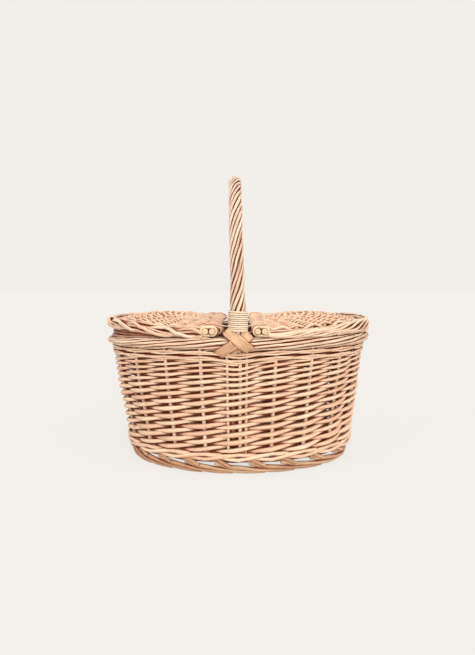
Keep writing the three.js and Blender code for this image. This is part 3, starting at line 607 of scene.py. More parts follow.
# %% The upsett, with the lowest strokes of the side weave in it
UPSETT_MIDDLE = FOOT_TOP + 5.25
UPSETT_ROD = 2.9


def upsett_wale():
    bundle = Bundle("upsett_wale_rods", 21)
    wale_round(bundle, UPSETT_MIDDLE, UPSETT_ROD, 3, 1.3)
    for line, radius, shade_depth in lowest_strokes:
        bundle.rod(line, radius, shade_depth=shade_depth)
    bundle.piece("basket", WILLOW, "willow", "upsett_wale")


upsett_wale()

# %% The top wale
TOP_WALE_ROUNDS = 2
TOP_WALE_START = WALE_BOTTOM - 1.5
TOP_WALE_PITCH = (BORDER_BOTTOM - TOP_WALE_START) / TOP_WALE_ROUNDS
TOP_WALE_ROD = 0.22 * TOP_WALE_PITCH


def top_wale():
    bundle = Bundle("top_wale_rods", 22)
    for i in range(TOP_WALE_ROUNDS):
        wale_round(bundle, TOP_WALE_START + TOP_WALE_PITCH * (i + 0.5), TOP_WALE_ROD, 3 + 7 * i, 1.0)
        # A liner painted brown all round, as painted shade inside the wale
        bundle.rod(liner(TOP_WALE_START + TOP_WALE_PITCH * (i + 1) + 0.5, -2.0), 2.3, shade_depth=0.9, shaded_all_round=True)
    bundle.piece("basket", WILLOW, "willow", "top_wale")


top_wale()

# %% [markdown]
# ## Foot border
#
# Extra rods are pushed up beside the stakes and bent down to the right to make a low foot, with
# see-through gaps. Each diagonal ends cut on the outside of the ring. The ring itself is laid from
# rods that start with a cut butt end beside the gap and run on past two stakes, sinking as they go.
# One twisted ring could stand for it, but the gaps and the pale cut ends are what the eye finds. So
# one set of listed knots, smoothed and repeated at every stake, gives each rod its path. A liner,
# painted brown as painted shade, closes the top of the gaps.

# %% The foot ring and its diagonals, as length along the oval, height and distance outwards
RING_PATH = [(15, 15.4, 1.2), (25, 12.9, 1.2), (36, 10.2, 1.0), (61, 7.6, 0.8), (85, 5.0, 0.2),
             (108, 3.3, -0.4), (130, 3.0, -1.6)]
RING_RADIUS = 2.95
DIAGONAL_PATH = [(2, 33, -0.5), (8, 27, 0.4), (16, 21.8, 1.4), (26, 16.6, 3.0), (36, 12.2, 4.6)]
DIAGONAL_RADIUS = 2.45
SECOND_DIAGONAL = [(arc - 6.6, z - 0.6, offset - 1.4) for arc, z, offset in DIAGONAL_PATH]
SECOND_DIAGONAL_RADIUS = 2.05
HIGHER_AT_ENDS = 3.4
FOOT_LINER = FOOT_TOP - 2.3


def soften(path, times):
    """Rounds the corners of a path, its two ends held."""
    for _ in range(times):
        path[1:-1] = (path[:-2] + 2 * path[1:-1] + path[2:]) / 4
    return path


def smooth_path(knots, count):
    """A smooth run through a few knots, as evenly stepped rows."""
    knots = np.array(knots, float)
    at = np.arange(len(knots))
    fine = np.linspace(0, len(knots) - 1, count)
    return soften(np.stack([np.interp(fine, at, column) for column in knots.T], axis=-1), 3)


def foot_border():
    bundle = Bundle("foot_border_rods", 31)
    for k in range(STAKES):
        start = k * PITCH + bundle.random.uniform(-1.5, 1.5)
        for path, radius, count in ((RING_PATH, RING_RADIUS, 40), (DIAGONAL_PATH, DIAGONAL_RADIUS, 18),
                                    (SECOND_DIAGONAL, SECOND_DIAGONAL_RADIUS, 18)):
            arc, z, offset = smooth_path(path, count).T
            line = along_oval(start + arc, z, offset)
            line[:, 2] += HIGHER_AT_ENDS * (line[:, 0] / HALF_LENGTH) ** 4 * smooth((z - 4) / 6)
            bundle.rod(settle(line), radius, wander=0.12)
    # A liner painted brown on its outer side, as painted shade at the top of the gaps
    bundle.rod(liner(FOOT_LINER, -2.5), 2.7, shade_depth=0.75)
    bundle.piece("basket", SHADED_FOOT_WILLOW, "willow", "foot_border")


foot_border()

# %% [markdown]
# ## Roped border
#
# At the top the stakes bend over to the right and lie round each other like a rope. Each rod rises
# across the outside over more than four stakes, goes over the top and sinks inside. Plain rings would
# do for the height, but the long slanting lays are what shows. So each rod winds once round the
# middle line of the border, with cores inside that are painted brown all round as painted shade, and
# the section of this rope is an oval.

# %% The top border
BORDER_RADIUS = 2.05
BORDER_MIDDLE = (BORDER_BOTTOM + BORDER_TOP) / 2
BORDER_LIFT = (BORDER_TOP - BORDER_BOTTOM) / 2 - BORDER_RADIUS
BORDER_OFFSET = 1.3
BORDER_REACH = 7.2
BEND_LENGTH = 14
OUTSIDE_LENGTH = 4.3 * PITCH
INSIDE_LENGTH = 2.5 * PITCH
BORDER_CORES = [(-1.5, -2.2), (4.0, -1.6), (1.3, 3.0)]


def run(outside, inside):
    """Joins the steps of a border rod's outside and inside run, each given as (first, last)."""
    return np.concatenate([np.linspace(*outside, 52), np.linspace(*inside, 30)[1:]])


def top_border():
    bundle = Bundle("top_border_rods", 41)
    turn = np.radians(run((-80, 96), (96, 236)))
    over = BEND_LENGTH + OUTSIDE_LENGTH
    arc = run((BEND_LENGTH, over), (over, over + INSIDE_LENGTH))
    z = BORDER_MIDDLE + BORDER_LIFT * np.sin(turn)
    bend = smooth_path([(0, BORDER_BOTTOM - 9, 0), (2, BORDER_BOTTOM - 3, 0.5), (7, z[0] - 1.2, 1.6)], 6)
    for k in range(STAKES):
        offset = BORDER_OFFSET + (BORDER_REACH + bundle.random.uniform(-0.5, 0.3)) * np.cos(turn)
        path = soften(np.vstack([bend, np.stack([arc, z, offset], -1)]), 2)
        radius = BORDER_RADIUS * np.interp(path[:, 0], [0, 20, 320], [0.86, 1.04, 0.8])
        radius = radius * bundle.random.uniform(0.84, 1.08)
        line = along_oval(k * PITCH + path[:, 0], path[:, 1], path[:, 2])
        bundle.rod(settle(line), radius, wander=0.3)
    for offset, above in BORDER_CORES:
        core = liner(BORDER_MIDDLE + above, BORDER_OFFSET + offset)
        # Cores painted brown all round, as painted shade inside the rope
        bundle.rod(core, 2.6, shade_depth=0.9, shaded_all_round=True)
    bundle.piece("basket", BORDER_WILLOW, "willow", "top_border")


top_border()

# %% [markdown]
# ## Base
#
# Three long sticks are pushed through slits in five cross sticks, and the floor is woven round them
# in ovals, over one stick and under the next. It shows from below and when the lids stand open, so a
# flat plate would give the model away. Flattened rings that rise and fall over the sticks are enough.

# %% The base
CROSS_PITCH = 45
CROSS_RADIUS = 3.3
CROSS_SPREAD = 0.096
LONG_PITCH = 6
LONG_RADIUS = 2.4
LONG_SPREAD = 2.2
BASE_ROWS = 25
BASE_ROD = 2.35
BASE_WAVE = 3.6
FIRST_ROW_LENGTH = 101
FIRST_ROW_WIDTH = 12
FIRST_ROW_SQUARE = 0.35
BASE_HALF_LENGTH, BASE_HALF_WIDTH = (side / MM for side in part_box("base_weave")[1][:2])


def base_sticks():
    sticks = Bundle("base_sticks", 51)
    for i in range(-2, 3):
        x = i * CROSS_PITCH
        y = BASE_HALF_WIDTH * math.sqrt(1 - (x / BASE_HALF_LENGTH) ** 2) - 2
        spread = CROSS_SPREAD * abs(i)
        line = [(x * (1 + spread * abs(t)), y * t, BASE_MIDDLE) for t in np.linspace(-1, 1, 15)]
        sticks.rod(line, CROSS_RADIUS, wander=0.2)
    for i in (-1, 0, 1):
        reach = (BASE_HALF_LENGTH - 4) * np.linspace(-1, 1, 25)
        spread = 1 + LONG_SPREAD * smooth((abs(reach) - 95) / 60)
        line = np.stack([reach, i * LONG_PITCH * spread, np.full(25, BASE_MIDDLE)], -1)
        sticks.rod(line, LONG_RADIUS, wander=0.15)
    nodes = [f"base_long_stick_{i + 1:02d}" for i in range(3)]
    nodes += [f"base_cross_stick_{i + 1:02d}" for i in range(5)]
    sticks.piece("basket", STICK, "stick_willow", *nodes)


def base_weave():
    weave = Bundle("base_weave_rods", 52)
    turn = np.linspace(0, 2 * math.pi, 241)
    for row in range(BASE_ROWS):
        share = row / (BASE_ROWS - 1)
        a = FIRST_ROW_LENGTH + (BASE_HALF_LENGTH - FIRST_ROW_LENGTH - 2) * share
        b = FIRST_ROW_WIDTH + (BASE_HALF_WIDTH - FIRST_ROW_WIDTH - 2) * share
        power = 1 - FIRST_ROW_SQUARE * (1 - share)
        x = a * np.sign(np.cos(turn)) * np.abs(np.cos(turn)) ** power
        y = b * np.sign(np.sin(turn)) * np.abs(np.sin(turn)) ** power
        crossing = np.interp(x, np.arange(-2, 3) * CROSS_PITCH, np.arange(-2, 3))
        beyond = np.clip((np.abs(x) - 2 * CROSS_PITCH) / (a - 2 * CROSS_PITCH), 0, 1)
        phase = crossing + np.sign(x) * beyond * 1.5
        wave = np.cos(math.pi * (phase + row)) * np.where(y >= 0, 1, -1) * np.clip(np.abs(y) / 5, 0, 1)
        weave.rod(np.stack([x, y, BASE_MIDDLE + BASE_WAVE * wave], -1), BASE_ROD, wander=0.2)
    weave.piece("basket", WILLOW, "willow", "base_weave")


base_sticks()
base_weave()

# %% [markdown]
# ## Handle
#
# One thick rod is bent into the bow, and its thinned feet run down inside the wall. Nine thin rods
# are then roped round it from side to side, fuller at the feet, so the whole handle looks twisted. A
# screw modifier could twist a section, but each strand here has its own small slack and thickness.
# So each strand is a rod whose path circles the bow's middle line as it goes.

# %% The middle line of the handle
HANDLE_Y = HALF_WIDTH + WIDTH_FLARE * BORDER_TOP
HANDLE_SAG = 3.5
HALF_ROPE = 9.7
ARCH_CENTRE = HANDLE_TOP - HANDLE_SAG - HALF_ROPE - HANDLE_Y
STRAIGHT_BELOW = 215
LEAN_AT_TOP = 4.7


def handle_line(start, count):
    """The middle line of the handle from front foot to back foot, and its outward direction."""
    straight = ARCH_CENTRE - start
    total = 2 * straight + math.pi * HANDLE_Y
    s = np.linspace(0, total, count)
    turn = np.clip((s - straight) / HANDLE_Y, 0, math.pi)
    down = np.clip(s - straight - math.pi * HANDLE_Y, 0, None)
    z = np.where(s < straight, start + s, ARCH_CENTRE + HANDLE_Y * np.sin(turn) - down)
    y = -HANDLE_Y * np.cos(turn)
    outward = np.stack([np.zeros(count), -np.cos(turn), np.sin(turn)], -1)
    lean = -LEAN_AT_TOP * np.clip((z - STRAIGHT_BELOW) / (HANDLE_TOP - STRAIGHT_BELOW), 0, 1)
    return np.stack([lean, y, z], -1), outward, s


# %% The bow and its thinned feet
BOW_RADIUS = 5.5
BOW_FOOT_LEVELS = np.array([SIDE_BOTTOM + 1, 80, 120, 150, 165, 178])
BOW_FOOT_RADII = [2.4, 2.4, 2.4, 2.6, 3.0, 3.6]
BOW_FOOT_ASIDE = -6.3


def handle_bow():
    bow = Bundle("handle_bow_rod", 61)
    line, _, _ = handle_line(BORDER_TOP + 1, 90)
    aside = np.interp(BOW_FOOT_LEVELS, [150, BORDER_TOP], [BOW_FOOT_ASIDE, 0])
    foot = np.stack([aside, -(HALF_WIDTH + WIDTH_FLARE * BOW_FOOT_LEVELS), BOW_FOOT_LEVELS], -1)
    back = foot[::-1] * [1, -1, 1]
    radius = np.concatenate([BOW_FOOT_RADII, np.full(len(line), BOW_RADIUS), BOW_FOOT_RADII[::-1]])
    # The bow is painted brown all round, as painted shade inside the roping
    bow.rod(np.vstack([foot, line, back]), radius, sides=10, wander=0.0, shade_depth=0.9, shaded_all_round=True)
    bow.piece("basket", STICK, "stick_willow", "handle_bow")


handle_bow()

# %% The roping
ROPE_STRANDS = 9
ROPE_PITCH = 140
ROD_IN_ROPE = 2.15
ROPE_START = heights("handle_rope")[0]
FULLER_AT_FOOT = 1.25


def handle_rope():
    rope = Bundle("handle_rope_rods", 62)
    line, outward, s = handle_line(ROPE_START - 2, 210)
    from_foot = np.minimum(s, s[-1] - s)
    flare = FULLER_AT_FOOT * (1 - smooth((from_foot - 22) / 55))
    for strand in range(ROPE_STRANDS):
        turn = 2 * math.pi * (strand / ROPE_STRANDS + s / ROPE_PITCH)
        turn = turn + rope.random.uniform(-0.1, 0.1) + rope.waves(s, 0.05)
        reach = BOW_RADIUS + ROD_IN_ROPE - 0.2 + flare + rope.random.uniform(-0.3, 0.2)
        across = np.cos(turn)[:, None] * outward + np.sin(turn)[:, None] * np.array([1.0, 0.0, 0.0])
        radius = (ROD_IN_ROPE + 0.12 * flare) * rope.random.uniform(0.84, 1.04)
        rope.rod(line + across * reach[:, None], radius, sides=10, wander=0.12)
    rope.piece("basket", ROPE_WILLOW, "willow", "handle_rope")


handle_rope()

# %% [markdown]
# ## Wraps and cross bindings
#
# Pale skein, which is a shaved strip of willow, is wound about ten times round each foot of the
# roping. Two wide split strips cross over the border below it and hold the crossbar ends down. The
# strip that falls to the right lies on top, and a few thin slivers fill the notch under the cross.
# A banded cylinder could stand for a wrap, but its loose turns catch the light one by one. So a wrap
# is one flat strip on a spiral, and each binding is a flat strip laid on the curved border.

# %% The skein wraps
WRAP_TURNS = 9.6
WRAP_BOTTOM = heights("foot_wrap_front")[0] + 1.3
WRAP_PITCH = 2.62
WRAP_RADIUS = 12.25
SKEIN_HALF_WIDTH = 1.18
SKEIN_HALF_THICKNESS = 0.85


def wraps():
    turn = np.linspace(0, 2 * math.pi * WRAP_TURNS, int(WRAP_TURNS * 28))
    rise = turn / (2 * math.pi)
    for place, side, seed in (("front", -1, 71), ("back", 1, 72)):
        bundle = Bundle(f"foot_wrap_{place}_skein", seed)
        loose = np.interp(rise, np.arange(12), bundle.random.uniform(-0.25, 0.3, 12))
        radius = WRAP_RADIUS + loose + 0.4 * np.sin(turn / 2)
        outward = np.stack([np.cos(turn), side * np.sin(turn), np.zeros_like(turn)], -1)
        line = radius[:, None] * outward + [0, side * HANDLE_Y, WRAP_BOTTOM]
        line[:, 2] += WRAP_PITCH * rise
        bundle.rod(line, SKEIN_HALF_WIDTH, flat=SKEIN_HALF_THICKNESS, facing=outward, sides=12, wander=0.1,
                   tone=0.3)
        bundle.piece("basket", SKEIN, "skein", f"foot_wrap_{place}")


wraps()

# %% The face of the border, and a strip laid on it
FACE = [(BORDER_BOTTOM - 12, 6.0), (BORDER_BOTTOM - 3, 7.0), (BORDER_BOTTOM + 2, 9.3), (BORDER_MIDDLE, 11.2),
        (BORDER_TOP - 3, 9.6), (BORDER_TOP + 2, 7.2), (BORDER_TOP + 10, 6.6)]
TUCKED_IN = 3.4


def border_face(x, z, lift):
    """A point on the front of the border at x and z, lifted off it."""
    levels, offsets = zip(*FACE)
    offset = np.interp(z, levels, offsets) + lift
    a = HALF_LENGTH + LENGTH_FLARE * np.minimum(z, BORDER_TOP)
    b = HALF_WIDTH + WIDTH_FLARE * np.minimum(z, BORDER_TOP)
    return np.stack([x, -(b + offset) * np.sqrt(1 - (x / a) ** 2), z], -1)


def strip(bundle, ends, half_width, thickness, lift, bulge, turned, shade_depth=0.0):
    """A strip through four places on the border's face, its ends tucked in, bulging near the cross."""
    share = np.concatenate([[0], np.linspace(1, 2, 25), [3]])
    x, z = (np.interp(share, np.arange(4), column) for column in np.array(ends, float).T)
    lift = lift + bulge * np.exp(-((x + 2) / 11) ** 2)
    lift[[0, -1]] -= TUCKED_IN
    line = border_face(x, z, lift)
    slope = border_face(x, z + 1.5, lift) - border_face(x, z - 1.5, lift)
    outward = unit(np.cross([1.0, 0.0, 0.0], slope))
    outward = outward * np.where(outward[:, 1:2] > 0, -1, 1)
    if turned:
        line, outward = line * [-1, -1, 1], outward * [-1, -1, 1]
    bundle.rod(line, half_width, flat=thickness, facing=outward, sides=16, wander=0.08, shade_depth=shade_depth,
               shaded_all_round=True)


# %% The crossed strips, each with a brown edge beneath that stands for its bark edge and for painted shade, and the slivers in the notch
STRIP_HALF_WIDTH = 7.1
STRIP_HALF_THICKNESS = 0.7
UNDER_STRIP = [(-26.0, 164.5), (-22.5, 168.5), (12.5, 190.8), (15.0, 193.0)]
OVER_STRIP = [(-15.0, 198.0), (-12.7, 196.0), (13.2, 173.8), (16.2, 170.6)]
SLIVER = [(-15, 163.0), (-13, 165.5), (-1, 176.5), (1, 178.0)]
SLIVERS_ASIDE = (0.0, 4.2, 8.0)


def cross_bindings():
    for place, turned, seed in (("front", False, 81), ("back", True, 82)):
        bundle = Bundle(f"cross_binding_{place}_strips", seed)
        for ends, bulge in ((UNDER_STRIP, 0.0), (OVER_STRIP, 1.35)):
            strip(bundle, ends, STRIP_HALF_WIDTH, STRIP_HALF_THICKNESS, 0.75, bulge, turned)
            # A wider strip beneath, painted brown: the strip's bark edge and painted shade where it meets
            # the border
            strip(bundle, ends, STRIP_HALF_WIDTH + 1, STRIP_HALF_THICKNESS, 0.25, bulge, turned, shade_depth=1.0)
        for aside in SLIVERS_ASIDE:
            strip(bundle, [(x + aside, z) for x, z in SLIVER], 1.25, 0.55, -0.4, 0.0, turned)
        bundle.piece("basket", SPLIT, "split_willow", f"cross_binding_{place}")


cross_bindings()

# %% [markdown]
# ## Crossbar and hinge loops
#
# Two rods lie side by side on the border, from front to back, with the bow between them. Each lid
# turns in loops of skein that go round one crossbar rod and the lid's own hinge stick. A loop could
# be a bent ring, but skein lies flat and straight between the two rods. So it is a belt round two
# circles, of three strands side by side.

# %% The crossbar rods and the loops
BAR_RADIUS = 3.5
BAR_X = 9.3
BAR_Z = BORDER_TOP + 0.3 + BAR_RADIUS
BAR_HALF_LENGTH = 147
LEFT_HINGE_X = 34
RIGHT_HINGE_X = 26
HINGE_Z = sum(heights("left_lid_hinge_stick")) / 2
STICK_RADIUS = 3.8
STICK_PITCH = 8.8
LOOP_FROM_MIDDLE = 85
LOOP_LIFT = 0.85
LOOP_STRAND_PITCH = 2.95
LOOP_HALF_WIDTH = 1.42
LOOP_HALF_THICKNESS = 0.48


def straight(x, half_length, z, count):
    """A straight line from front to back."""
    y = np.linspace(-half_length, half_length, count)
    return np.stack([x + 0 * y, y, z + 0 * y], -1)


def belt(first, first_radius, second, second_radius, steps=14):
    """A belt round two circles in one plane, as points and outward directions."""
    first, second = np.array(first, float), np.array(second, float)
    apart = second - first
    direction = math.atan2(apart[1], apart[0])
    opening = math.acos((first_radius - second_radius) / np.linalg.norm(apart))
    near = np.linspace(direction + opening, direction + 2 * math.pi - opening, steps)
    far = np.linspace(direction - opening, direction + opening, steps)
    points, normals = [], []
    for centre, radius, turns in ((first, first_radius, near), (second, second_radius, far)):
        ray = np.stack([np.cos(turns), np.sin(turns)], -1)
        points.append(centre + radius * ray)
        normals.append(ray)
    points, normals = np.vstack(points), np.vstack(normals)
    return np.vstack([points, points[:1]]), np.vstack([normals, normals[:1]])


def upright(points, y):
    """Puts points of the x-z plane at y."""
    return np.insert(points, 1, y, axis=1)


def crossbars_and_loops():
    for hand, side, hinge_x, seed in (("left", -1, LEFT_HINGE_X, 91), ("right", 1, RIGHT_HINGE_X, 92)):
        bar = Bundle(f"crossbar_{hand}_rod", seed)
        bar.rod(straight(side * BAR_X, BAR_HALF_LENGTH, BAR_Z, 30), BAR_RADIUS, sides=12, wander=0.06)
        bar.piece("basket", STICK, "stick_willow", f"crossbar_{hand}")
        points, normals = belt((side * BAR_X, BAR_Z), BAR_RADIUS + LOOP_LIFT,
                               (side * hinge_x, HINGE_Z), STICK_RADIUS + LOOP_LIFT)
        for place, end in (("front", -1), ("back", 1)):
            loop = Bundle(f"hinge_loop_{hand}_{place}_skein", seed + end + 5)
            for strand in (-1, 0, 1):
                line = upright(points, end * LOOP_FROM_MIDDLE + strand * LOOP_STRAND_PITCH)
                loop.rod(line, LOOP_HALF_WIDTH, flat=LOOP_HALF_THICKNESS, facing=upright(normals, 0),
                         sides=12, wander=0.0)
            loop.piece("basket", SKEIN, "skein", f"hinge_loop_{hand}_{place}")


crossbars_and_loops()

# %% [markdown]
# ## Lids
#
# Each lid is a half oval with a low crown. Its sticks fan out from the middle of the hinge, with more
# sticks let in where the fan grows wide. A grid bent into shape would have the wrong lines, because
# the real weavers run in D-shaped arcs, over one stick and under the next, and turn round the hinge
# stick at both ends, which makes the barrel along the hinge. So each row is one arc with a wave in it,
# and a turn at each end.

# %% The lid's outline and its fan of sticks
LID_A = 190.9
LID_B = 138.9
LID_CROWN = 13.0
LID_UNEVEN = 1.8
WEAVER = 2.02
FAN_RADIUS = 2.6
INNER_FAN = 20
OUTER_FAN = 10
MORE_STICKS_FROM = 84
HINGE_STICK_HALF = 146.5
SECOND_STICK_HALF = 145.0
END_BINDING_Y = 141.5
END_BINDING_RADIUS = 1.9
FAN_ENDS_INSIDE = 4


def crown(x, y, hinge_x):
    """How far the lid's middle stands above its hinge."""
    share = np.clip((x - hinge_x) / (LID_A - hinge_x), 0, 1)
    arch = np.sin(math.pi * share) * np.cos(math.pi / 2 * np.clip(y / LID_B, -1, 1))
    return arch * (LID_CROWN - LID_UNEVEN + LID_UNEVEN * np.sin(x / 9 + 2) * np.cos(y / 21))


def lid_sticks(hand, side, hinge_x, seed):
    bundle = Bundle(f"{hand}_lid_sticks", seed)
    middle = hinge_x + STICK_PITCH
    for x, half in ((hinge_x, HINGE_STICK_HALF), (middle, SECOND_STICK_HALF)):
        bundle.rod(straight(side * x, half, HINGE_Z, 26), STICK_RADIUS, sides=14, wander=0.0, tone=0.25)
    ring = STICK_RADIUS + END_BINDING_RADIUS - 0.3
    points, _ = belt((hinge_x, HINGE_Z), ring, (middle, HINGE_Z), ring)
    for end in (-1, 1):
        line = upright(points * [side, 1], end * END_BINDING_Y)
        bundle.rod(line, END_BINDING_RADIUS, wander=0.0, tone=0.1)
    for degrees in range(-80, 81, OUTER_FAN):
        turn = math.radians(degrees)
        start = STICK_RADIUS + 2 + abs(degrees) * 0.16 if degrees % INNER_FAN == 0 else MORE_STICKS_FROM
        reach = np.linspace(start, 190, 60)
        x = middle + reach * math.cos(turn)
        y = reach * math.sin(turn)
        inside = (x / (LID_A - FAN_ENDS_INSIDE)) ** 2 + (y / (LID_B - FAN_ENDS_INSIDE)) ** 2 < 1
        x, y = x[inside], y[inside]
        line = np.stack([side * x, y, HINGE_Z + crown(x, y, hinge_x)], -1)
        bundle.rod(line, FAN_RADIUS, wander=0.1)
    nodes = [f"{hand}_lid_{name}" for name in ("hinge_stick", "second_stick")]
    nodes += [f"{hand}_lid_fan_stick_{i + 1:02d}" for i in range(3)]
    bundle.piece(f"{hand}_lid", STICK, "stick_willow", *nodes)


# %% A weaver's turn round the hinge stick
def hinge_turn(y, hinge_x, ring, bulge, wraps_round):
    """From above the second stick, over the hinge stick and back beneath both."""
    middle = hinge_x + STICK_PITCH
    if not wraps_round:
        return np.array([[middle + 2, y, HINGE_Z + ring], [middle - 2, y, HINGE_Z + ring - 1.2]])
    turn = np.radians(np.linspace(90, 270, 11))
    x = hinge_x + (ring + bulge) * np.cos(turn)
    z = ring * np.sin(turn)
    x = np.concatenate([[middle], x, [middle, middle + 5]])
    z = np.concatenate([[ring], z, [-ring, 0.6 - ring]])
    return np.stack([x, np.full(len(x), y), HINGE_Z + z], -1)


# %% The lid's weavers
LID_ROWS = 33
FIRST_ROW = 1.6
PRESSED_ON_STICK = 0.2
PRESSED_ON_FAN = 0.75
LEVEL_NEAR_HINGE = 12
TURN_SLIMMER = 0.72
LOOP_CLEARANCE = 6.2
BULGE_FADES_OVER = 16
FULL_BULGE_BEYOND = 118
BULGE_LOST_WITHIN = 0.7
PLAIN_TURNS_WITHIN = 108
# Painted shade on every second outer turn of a bulging barrel
SHADED_TURNS = 0.6


def lid_weave(hand, side, hinge_x, bulge, seed):
    """Bulge is how far the outer turns stand out towards the handle, as they do on the left lid."""
    bundle = Bundle(f"{hand}_lid_weavers", seed)
    middle = hinge_x + STICK_PITCH
    widest = LID_B * math.sqrt(1 - (hinge_x / LID_A) ** 2) - WEAVER
    for row in range(LID_ROWS):
        share = (row + FIRST_ROW) / (LID_ROWS - 1 + FIRST_ROW)
        a = hinge_x + (LID_A - WEAVER - hinge_x) * share
        half = widest * share
        b = half / math.sqrt(1 - (hinge_x / a) ** 2)
        end = math.acos(min((middle + 4) / a, 0.999))
        turn = np.linspace(-end, end, max(24, int(90 * share)))
        x, y = a * np.cos(turn), b * np.sin(turn)
        spread = np.degrees(np.arctan2(y, x - middle))
        fan = INNER_FAN if a - middle < MORE_STICKS_FROM + 3 else OUTER_FAN
        wave = np.cos(math.pi * (spread / fan + row))
        near_hinge = 1 - smooth((x - middle - 3) / LEVEL_NEAR_HINGE)
        ring = STICK_RADIUS + WEAVER - PRESSED_ON_STICK + bundle.random.uniform(-0.9, 1.0)
        lift = (1 - near_hinge) * wave * (FAN_RADIUS + WEAVER - PRESSED_ON_FAN) + near_hinge * ring
        body = np.stack([x, y, HINGE_Z + crown(x, y, hinge_x) + lift], -1)

        wraps_round = abs(half - LOOP_FROM_MIDDLE) >= LOOP_CLEARANCE
        outer = bulge * smooth((widest + 2 - half) / BULGE_FADES_OVER)
        outer = outer * (1 - BULGE_LOST_WITHIN * smooth((FULL_BULGE_BEYOND - half) / 20))
        tail = hinge_turn(half, hinge_x, ring, outer, wraps_round)
        head = hinge_turn(-half, hinge_x, ring, outer, wraps_round)[::-1]
        line = np.vstack([head, body, tail])
        mirrored = line * [side, 1, 1]
        # Which side of each weaver takes the painted shade: out from the hinge at the turns, up on the lid,
        # and along the hinge on the last weaver
        out = np.zeros_like(line)
        out[:, 0] = side * np.minimum(line[:, 0] - hinge_x, 0)
        out[:, 2] = np.where(line[:, 0] > middle + 2, 9, line[:, 2] - HINGE_Z)
        if row == LID_ROWS - 1:
            out[:, 1] = 12 * np.sign(line[:, 1])

        # Painted shade: a random amount near the hinge, on the barrel's outer turns, and beneath the sticks
        hinge_shade = max(bundle.random.uniform(-0.35, 0.3), 0.0)
        if bulge > 0:
            hinge_shade += SHADED_TURNS * (row % 2) * smooth((half - PLAIN_TURNS_WITHIN) / 8)
        beneath = smooth(-lift / 4) * SHADE_BEHIND + hinge_shade * near_hinge
        shade_depth = np.concatenate([np.full(len(head), hinge_shade), beneath, np.full(len(tail), hinge_shade)])
        slim = np.full(len(line), TURN_SLIMMER)
        slim[len(head):len(head) + len(body)] = 1
        bundle.rod(mirrored, WEAVER * slim, wander=0.12, shade_depth=shade_depth, out=unit(out))
    bundle.piece(f"{hand}_lid", WILLOW, "willow", f"{hand}_lid_weave")


# %% [markdown]
# ## The rims of the lids
#
# The edge of each lid is an open border of bent sticks. On the left lid a few strands weave through
# each other in a wide plait, and on the right lid short rods lie over one another like a rope. An
# array of one link would repeat too neatly on the oval. So each strand is a sine along the rim's own
# length, with a random shift, and rods behind it close the way to the border; some of those are
# painted browner, as painted shade under the rim.

# %% The line of a rim, and one rod laid by it
RIM_A = 197.0
RIM_B = 145.0
RIM_BOTTOM = BORDER_TOP - 0.5
RIM_MIDDLE = RIM_BOTTOM + 6.2
RIM_ROD = 2.2
LOWEST_ROD = 2.2
RIM_FADE = 26


class Rim:
    """A lid's rim from front to back: angles, lengths, outward directions and its bundle of rods."""

    def __init__(self, hand, side, hinge_x, seed):
        self.bundle = Bundle(f"{hand}_lid_rim_rods", seed)
        self.side = side
        end = math.acos((hinge_x + 0.5) / RIM_A)
        self.turn = np.linspace(-end, end, 170)
        steps = np.hypot(np.diff(RIM_A * np.cos(self.turn)), np.diff(RIM_B * np.sin(self.turn)))
        self.normal = unit(np.stack([np.cos(self.turn) / RIM_A, np.sin(self.turn) / RIM_B], -1))
        self.length = np.concatenate([[0.0], np.cumsum(steps)])
        self.whole = self.length[-1]
        self.x = RIM_A * np.cos(self.turn)
        self.fade = smooth(np.minimum(self.length, self.whole - self.length) / RIM_FADE)
        self.behind_hinge = hinge_x + 6
        self.past_discs = hinge_x + STICK_PITCH + 4

    def rod(self, rise, out, radius=RIM_ROD, shade_depth=0.0, start_x=0.0, here=True):
        """One rod, rising above the middle of the rim and standing out from it."""
        here = here & (self.x > start_x)
        x = self.x + out * self.normal[:, 0]
        y = RIM_B * np.sin(self.turn) + out * self.normal[:, 1]
        line = np.stack([self.side * x, y, RIM_MIDDLE + rise + 0 * x], -1)
        self.bundle.rod(line[here], radius, wander=0.3, shade_depth=shade_depth)

    def inner_rods(self, rods, tilt):
        """Each rod has a distance outwards, a level above the border, a share of its dip and an amount of
        painted shade.

        With no share of the border's dip, a rod follows the tilt of the lid instead.
        """
        dip = LEFT_DIP * (self.x / (HALF_LENGTH + LENGTH_FLARE * BORDER_TOP)) ** 2
        for out, level, dipped, shade_depth in rods:
            rise = RIM_BOTTOM + level - RIM_MIDDLE + (tilt if dipped == 0 else -dipped * dip)
            start_x = self.behind_hinge if level == LOWEST_ROD else self.past_discs
            self.rod(rise, out, shade_depth=shade_depth, start_x=start_x)


# %% The plaited rim of the left lid, whose strands have a half turn, a share of the swing and a level
LEFT_RIM_LIFT = 5.5
LEFT_RIM_DROOP = 3.6
PLAIT_WAVES = 5
PLAIT_SHIFT = 5.0
PLAIT_RISE = 5.2
PLAIT_REACH = 3.4
PLAIT_INWARDS = 0.8
PLAIT_ROD = 2.5
PLAIT_STRANDS = [(0, 1.0, 0.0), (1, 1.0, 0.0), (0, 0.3, 0.0), (1, 0.25, -3.4)]
# The last number of each inner rod is its painted shade
LEFT_INNER_RODS = [(-1.0, LOWEST_ROD, 0, 0.0), (-4.2, 4.8, 0, 0.8), (-4.4, 8.6, 0, 0.8),
                   (-5.5, 12.0, 0, 0.1), (-5.5, 2.0, 1, 0.6), (-6.5, 2.0, 0.4, 0.6),
                   (-5.5, 2.5, -0.12, 0.6)]


